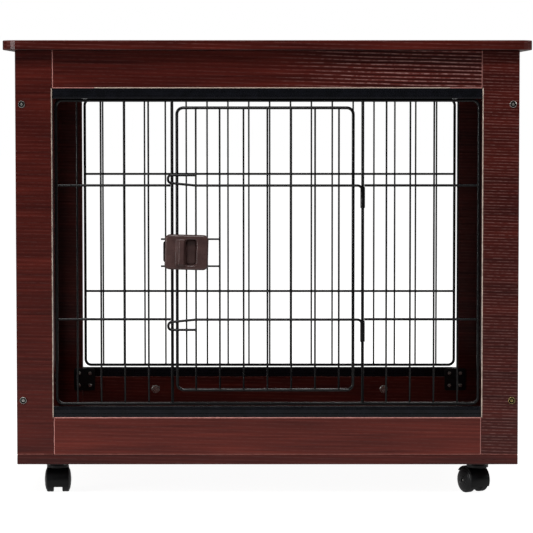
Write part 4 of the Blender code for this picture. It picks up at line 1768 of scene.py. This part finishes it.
@dataclass
class Case:
    """The foiled boards of the case, which keep the frame's own shapes.

    Attributes:
        joint_wear_and_highlight: How far the worn core and painted highlight reach in where two boards
            meet.
        end_wear_and_highlight: The same at the ends of the rails.
        opening_wear_and_highlight: The same round the opening.
        plain_wear_and_highlight: The same on the side and rear boards.
        cream_span: Where along the top rail its pale edge is cream, with a painted reflection, and not
            pink.
    """

    joint_wear_and_highlight: float = 1.7 * MM
    end_wear_and_highlight: float = 1.5 * MM
    opening_wear_and_highlight: float = 1.7 * MM
    plain_wear_and_highlight: float = 0.8 * MM
    cream_span: tuple[float, float] = (-272 * MM, 287 * MM)

    def front_edges(self, node: str) -> tuple[PaleEdge, ...]:
        """Pale edges of a front board: worn core and painted highlight.

        Args:
            node: The board's name.

        Returns:
            Its pale edges.
        """
        low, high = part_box(node)
        opening = (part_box("front_bottom_rail")[1].z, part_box("front_top_rail")[0].z)
        if "stile" in node:
            inner = high.x if high.x < 0 else low.x
            return (
                PaleEdge(Axis.X, inner, self.opening_wear_and_highlight, CREAM_CORE_AND_REFLECTION, 0.4, Axis.Z, opening),
                PaleEdge(Axis.Z, low.z, self.joint_wear_and_highlight, FOOT_CORE_AND_HIGHLIGHT, 0.6),
            )
        ends = tuple(
            PaleEdge(Axis.X, x, self.end_wear_and_highlight, PINK_CORE_AND_HIGHLIGHT, 0.15, Axis.Z, (low.z, high.z))
            for x in (low.x, high.x)
        )
        if "top" in node:
            return (
                *ends,
                PaleEdge(Axis.Z, low.z, self.opening_wear_and_highlight, PINK_CORE_AND_HIGHLIGHT, 0.1),
                PaleEdge(Axis.Z, low.z, self.opening_wear_and_highlight, CREAM_CORE_AND_REFLECTION, 0.1, Axis.X, self.cream_span),
            )
        return (
            *ends,
            PaleEdge(Axis.Z, high.z, self.opening_wear_and_highlight, PINK_CORE_AND_HIGHLIGHT, 0.3),
            PaleEdge(Axis.Z, low.z, self.joint_wear_and_highlight, FOOT_CORE_AND_HIGHLIGHT, 0.35),
        )

    def plain_edges(self, node: str, grain: Axis) -> tuple[PaleEdge, ...]:
        """Faint pale edges of a side or rear board: worn core and painted highlight.

        Args:
            node: The board's name.
            grain: The direction its grain runs.

        Returns:
            Its pale edges.
        """
        low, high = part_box(node)
        return tuple(
            PaleEdge(axis, corner[axis.value], self.plain_wear_and_highlight, RUBBED_CORE_AND_HIGHLIGHT, 0.8)
            for axis in (grain, Axis.Z) for corner in (low, high)
        )

    def foils(self) -> dict[str, CherryFoil]:
        """The foil of every board, by node.

        Returns:
            The foils.
        """
        foils = {
            "top_board": CherryFoil("cherry_foil_top_board", shift=3.1, ridges=0.12),
            "bottom_board": CherryFoil("cherry_foil_bottom_board", shift=9.4, ridges=0.05),
        }
        ridged = {
            "front_top_rail": {"ridges": 0.8, "ridge_span": (-0.02, 0.2)},
            "front_right_stile": {"ridges": 0.3, "ridge_spacing": 4.7 * MM},
            "front_left_stile": {"ridges": 0.05},
            # The bottom rail's lighter colours are painted light, as if lit from the floor below.
            "front_bottom_rail": {
                "ridges": 0.05, "dark": "#48150F", "middle": "#5C1F17", "light": "#6E281E",
            },
        }
        shift = 20.0
        for place, grain in (("front", Axis.X), ("rear", Axis.X), ("left", Axis.Y), ("right", Axis.Y)):
            first, second = ("left", "right") if grain is Axis.X else ("front", "rear")
            for part in (f"{first}_stile", f"{second}_stile", "top_rail", "bottom_rail"):
                node = f"{place}_{part}"
                edges = self.front_edges(node) if place == "front" else self.plain_edges(node, grain)
                foils[node] = CherryFoil(
                    f"cherry_foil_{node}", grain, shift, edges=edges, **ridged.get(node, {})
                )
                shift += 4.7
        return foils

    def build(self) -> None:
        """Dress the boards."""
        for node, foil in self.foils().items():
            board = frame["nodes"][node]
            board.data.materials.clear()
            board.data.materials.append(material_of(foil))
            LOG.info("%s is foiled", node)


# ---- Castors -----------------------------------------------------------------------------

@dataclass
class Castor:
    """Twin-wheel swivel castor: mounting plate, hood, axle and two wheels.

    Attributes:
        place: Which corner it is at.
        trail: Distance of the axle from the swivel's axis.
        wheel_radius: The wheels' radius.
        wheel_width: A wheel's width.
        web_width: Width of the web between the wheels.
        web_low: Height of the web above the floor.
        hood_width: Width of the fender and the turret.
        hood_inner: Inner radius of the fender.
        hood_outer: Its outer radius.
        hood_span: Angles in degrees of its two ends round the axle, from +Y up and over.
        axle_radius: The axle's radius.
        plate_corner: Corner radius of the mounting plate.
        plate_screw_spread: Distance of its screws from its middle.
        gap: Clearance between what turns and what doesn't.
    """

    place: str
    trail: float = 12 * MM
    wheel_radius: float = 20 * MM
    wheel_width: float = 14.3 * MM
    web_width: float = 12.6 * MM
    web_low: float = 10 * MM
    hood_width: float = 34.6 * MM
    hood_inner: float = 21.2 * MM
    hood_outer: float = 23 * MM
    hood_span: tuple[float, float] = (40, 205)
    axle_radius: float = 2.5 * MM
    plate_corner: float = 4 * MM
    plate_screw_spread: float = 12 * MM
    gap: float = 0.3 * MM

    HOOD_STEPS = 44
    PLATE_EDGE = 0.5 * MM
    WHEEL_GAP = 0.5 * MM

    def __post_init__(self) -> None:
        """Take the swivel's place and turn from the frame's joints."""
        joints = {joint["name"]: joint for joint in frame["joints"]}
        self.pivot = Vector(joints[f"swivel_{self.place}"]["pos_m"])
        self.pivot.z = 0.0
        axle = Vector(joints[f"wheel_spin_{self.place}_right"]["axis"])
        self.turn = math.atan2(axle.y, axle.x)
        self.stand = Matrix.Translation(self.pivot) @ Matrix.Rotation(self.turn, 4, "Z")

    def fender(self) -> Shape:
        """Curved hood over the wheels, with a crowned and rounded section.

        Returns:
            The fender, with X along the axle and Y from the swivel to it.
        """
        half, wall = self.hood_width / 2, self.hood_outer - self.hood_inner
        # Places across the fender, with their depths in it in shares of its wall.
        outer = [(-half, 0.55), (-half + 0.5 * MM, 0.85), (-half + 1.6 * MM, 1.0), (0, 1.15)]
        outer += [(-x, r) for x, r in reversed(outer[:-1])]
        inner = [(half, 0.12), (half - 0.4 * MM, 0.0)]
        section = outer + inner + [(-x, r) for x, r in reversed(inner)]
        radii = [self.hood_inner + wall * share for _, share in section]
        first, last = self.hood_span
        rings = []
        for step in range(self.HOOD_STEPS + 1):
            angle = math.radians(first + (last - first) * step / self.HOOD_STEPS)
            rings.append([
                Vector((x, self.trail + r * math.cos(angle), self.wheel_radius + r * math.sin(angle)))
                for (x, _), r in zip(section, radii)
            ])
        return loft("fender", rings)

    def web(self) -> Shape:
        """Rounded plate between the wheels.

        Returns:
            The web, in the fender's axes.
        """
        middle = (self.trail, self.wheel_radius)
        outline = arc(middle, self.wheel_radius - self.web_low, 180, 360, 20)
        outline += arc(middle, self.hood_inner + 0.5 * MM, 30, 165, 20)
        return slab("web", outline, self.web_width, 0.8 * MM, STAND_UP)

    def turret(self) -> Shape:
        """Round neck of the hood, up to the mounting plate.

        Returns:
            The neck, in the fender's axes.
        """
        low = self.wheel_radius + self.hood_inner + 0.4 * MM
        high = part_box(f"castor_plate_{self.place}")[0].z - self.gap
        steps = (
            (0.6, low, 0), (0, low, 0.6), (0, high, -1.4), (0.6, high, -0.9), (1.6, high, -0.6),
            (1.8, high, 0),
        )
        profile = [(self.hood_width / 2 - inset * MM, level + rise * MM) for inset, level, rise in steps]
        return turned("turret", profile, 48)

    def hood(self) -> Shape:
        """Fender, web and turret as one moulding."""
        hood = merged("hood", [self.fender(), self.web(), self.turret()])
        return shade(hood, sharp=32)

    def wheel(self) -> Shape:
        """Wheel with a rounded tread, a stepped face and a domed hub cap.

        Returns:
            The wheel, along Z from its inner face.
        """
        section = (
            (3.2, 0.0), (18.0, 0.0), (19.3, 0.2), (19.85, 0.7), (20.0, 1.6), (20.0, 4.4),
            (19.75, 4.8), (19.75, 5.3), (20.0, 5.7), (20.0, 8.6), (19.7, 9.9), (18.9, 10.8),
            (17.6, 11.3), (16.4, 11.6), (16.0, 12.1), (15.2, 12.45), (12.5, 13.1), (8.6, 13.8),
            (8.1, 13.5), (7.6, 13.7), (5.0, 14.1), (3.0, 14.3), (3.2, 13.0),
        )
        return turned("wheel", [(r * MM, z * MM) for r, z in section], 64, closed=True)

    def axle(self) -> Shape:
        """Axle pin with chamfered ends.

        Returns:
            The pin, along Z.
        """
        half = self.web_width / 2 + self.wheel_width - 1 * MM
        chamfer = 0.5 * MM
        profile = [
            (self.axle_radius - chamfer, -half), (self.axle_radius, -half + chamfer),
            (self.axle_radius, half - chamfer), (self.axle_radius - chamfer, half),
        ]
        return turned("axle", profile, 32)

    def build(self) -> list[Piece]:
        """Make the castor's pieces.

        Returns:
            The pieces.
        """
        hood = self.hood()
        hood.matrix_world = self.stand
        axle_place = Matrix.Translation((0, self.trail, self.wheel_radius))
        axle = self.axle()
        axle.matrix_world = self.stand @ axle_place @ OUT_RIGHT
        place, body = self.place, f"castor_{self.place}"
        hides = (f"castor_hood_{place}",), (f"castor_axle_{place}",)
        pieces = [
            Piece(f"castor_cover_{place}", hood, CASTOR_NYLON, body, Slot.CASTOR, hides[0]),
            Piece(f"castor_pin_{place}", shade(axle), ZINC, body, Slot.ZINC, hides[1]),
        ]
        for side_name, side, turn in (("left", -1, OUT_LEFT), ("right", 1, OUT_RIGHT)):
            wheel = shade(self.wheel(), sharp=28)
            inner_face = Matrix.Translation((side * (self.web_width / 2 + self.WHEEL_GAP), 0, 0))
            wheel.matrix_world = self.stand @ axle_place @ inner_face @ turn
            node = f"wheel_{place}_{side_name}"
            pieces.append(Piece(f"castor_{node}", wheel, WHEEL_NYLON, node, Slot.WHEEL, (node,)))
        pieces += self.plate()
        return pieces

    def plate(self) -> list[Piece]:
        """Mounting plate under the board, with its four screws.

        Returns:
            The plate and its screws.
        """
        node = f"castor_plate_{self.place}"
        low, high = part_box(node)
        size, middle = high - low, (low + high) / 2
        outline = centred(size.x, size.y, self.plate_corner)
        plate = slab("plate", outline, size.z, self.PLATE_EDGE, Matrix.Identity(4))
        plate.location = middle
        ways = (-self.plate_screw_spread, self.plate_screw_spread)
        spots = [(middle.x + x, middle.y + y, low.z) for x in ways for y in ways]
        screws = screw_set(Screw(2.6 * MM, 0.9 * MM, Recess.CROSS), spots, DOWNWARD)
        name = f"castor_mount_{self.place}"
        return [
            Piece(name, shade(plate), CASTOR_NYLON, "case", Slot.CASTOR, (node,)),
            Piece(f"castor_mount_screws_{self.place}", screws, ZINC, "case", Slot.ZINC),
        ]


# ---- Studio ------------------------------------------------------------------------------

@dataclass
class Studio:
    """Pale floor, soft lights and the camera.

    Attributes:
        camera_place: Where the camera stands.
        camera_tilt: How far it looks down.
        lens: Its focal length in mm, on a 36 mm sensor.
        shift: Its lens shift.
        floor_size: Side of the floor.
        pool_radius: Round the crate the floor is bright this far out.
        pool_glow: Strength of the light from the floor there.
        far_glow: The same far away.
        seen_glow: Brightness of the floor where it is looked at.
    """

    camera_place: tuple[float, float, float] = (0.0288, -4.0447, 0.6363)
    camera_tilt: float = math.radians(3.111)
    lens: float = 161.593
    shift: tuple[float, float] = (-0.0359, -0.08)
    floor_size: float = 40.0
    pool_radius: float = 1.6
    pool_glow: float = 0.37
    far_glow: float = 0.03
    seen_glow: float = 0.95

    AIM = (0.0, 0.0, 0.4)
    SWEEP = 0.6  # glow of the paper behind the crate
    ROOM = (0.03, 0.4)  # glow of the room round the horizon and overhead
    SOFTBOXES = (
        # name, place, width and height, watts
        ("left_strip", (-3.2, -2.05, 1.1), (0.4, 1.8), 50),
        ("front_key", (-0.6, -2.6, 3.6), (1.8, 1.0), 88),
        ("overhead", (0.0, 0.3, 3.2), (2.0, 1.4), 30),
        ("right_fill", (3.2, 0.1, 1.9), (1.2, 1.2), 48),
        ("rear_fill", (0.8, 3.2, 2.8), (1.6, 1.2), 60),
    )

    def camera(self) -> None:
        """Camera straight in front, a little below the top board, looking slightly down."""
        data = bpy.data.cameras.new("camera")
        data.lens = self.lens
        data.sensor_width = 36.0
        data.shift_x, data.shift_y = self.shift
        data.clip_end = 100.0
        camera = bpy.data.objects.new("camera", data)
        camera.location = self.camera_place
        camera.rotation_euler = (math.radians(90) - self.camera_tilt, 0, 0)
        bpy.context.scene.collection.objects.link(camera)
        bpy.context.scene.camera = camera

    def floor(self) -> None:
        """Matt white paper that glows in a pool round the crate."""
        half = self.floor_size / 2
        square = ((-half, -half), (half, -half), (half, half), (-half, half))
        floor = loft("studio_floor", [[(x, y, z) for x, y in square] for z in (-0.02, 0.0)])
        surface = Surface.start(
            "matt_white_floor", Base_Color="#7A7978", Roughness=0.9, Specular_IOR_Level=0.1,
            Emission_Color="#FFFFFF",
        )
        tree = surface.tree
        far = add_node(tree, "VectorMath", [surface.place], give="Value", operation="LENGTH")
        pool = add_node(
            tree, "MapRange",
            [far, 0.3 * self.pool_radius, 2 * self.pool_radius, self.pool_glow, self.far_glow],
            interpolation_type="SMOOTHSTEP",
        )
        seen = add_node(tree, "LightPath", give="Is Camera Ray")
        surface.drive("Emission Strength", add_node(tree, "Mix", {0: seen, 2: pool, 3: self.seen_glow}))
        floor.data.materials.append(surface.material)

    def world(self) -> None:
        """White room, dim round the horizon, with a bright sweep of paper behind the crate."""
        world = bpy.data.worlds.new("studio")
        world.use_nodes = True
        bpy.context.scene.world = world
        tree = world.node_tree
        tree.nodes.clear()
        way = add_node(tree, "SeparateXYZ", [add_node(tree, "TexCoord", give="Generated")]).node.outputs
        behind = add_node(tree, "MapRange", [way[1], 0.6, 0.95, 0.0, self.SWEEP])
        sweep = add_node(tree, "MapRange", [way[2], 0.04, 0.1])
        high = add_node(tree, "MapRange", [way[2], 0.3, 0.9, *self.ROOM])
        room = add_node(tree, "Math", [behind, sweep, high], operation="MULTIPLY_ADD")
        seen = add_node(tree, "LightPath", give="Is Camera Ray")
        level = add_node(tree, "Mix", {0: seen, 2: room, 3: 1.0})
        glow = add_node(tree, "Background", {"Color": "#FFFFFF", "Strength": level})
        add_node(tree, "OutputWorld", {"Surface": glow})

    def softbox(self, name: str, place: Point, size: tuple[float, float], power: float) -> None:
        """Rectangular softbox aimed at the crate.

        Args:
            name: The light's name.
            place: Where it hangs.
            size: Its width and height.
            power: Its power in watts.
        """
        data = bpy.data.lights.new(name, "AREA")
        data.shape = "RECTANGLE"
        data.size, data.size_y = size
        data.energy = power
        light = bpy.data.objects.new(name, data)
        light.location = place
        aim = Vector(self.AIM) - Vector(place)
        light.rotation_euler = aim.to_track_quat("-Z", "Y").to_euler()
        light.visible_camera = False
        bpy.context.scene.collection.objects.link(light)

    def build(self) -> None:
        """Set up the studio."""
        bpy.context.scene.view_settings.view_transform = "Standard"
        self.camera()
        self.floor()
        self.world()
        for box in self.SOFTBOXES:
            self.softbox(*box)


def main() -> None:
    """Build the studio and dress the crate."""
    logging.basicConfig(level=logging.INFO, format="%(name)s: %(message)s")
    Studio().build()
    Case().build()
    panels = WirePanels()
    door = Door(panels)
    pieces = panels.build() + door.build() + Latch(door).build() + Fixings().build()
    for place in ("front_left", "front_right", "rear_left", "rear_right"):
        pieces += Castor(place).build()
    for piece in pieces:
        piece.install()


if __name__ == "__main__":
    main()
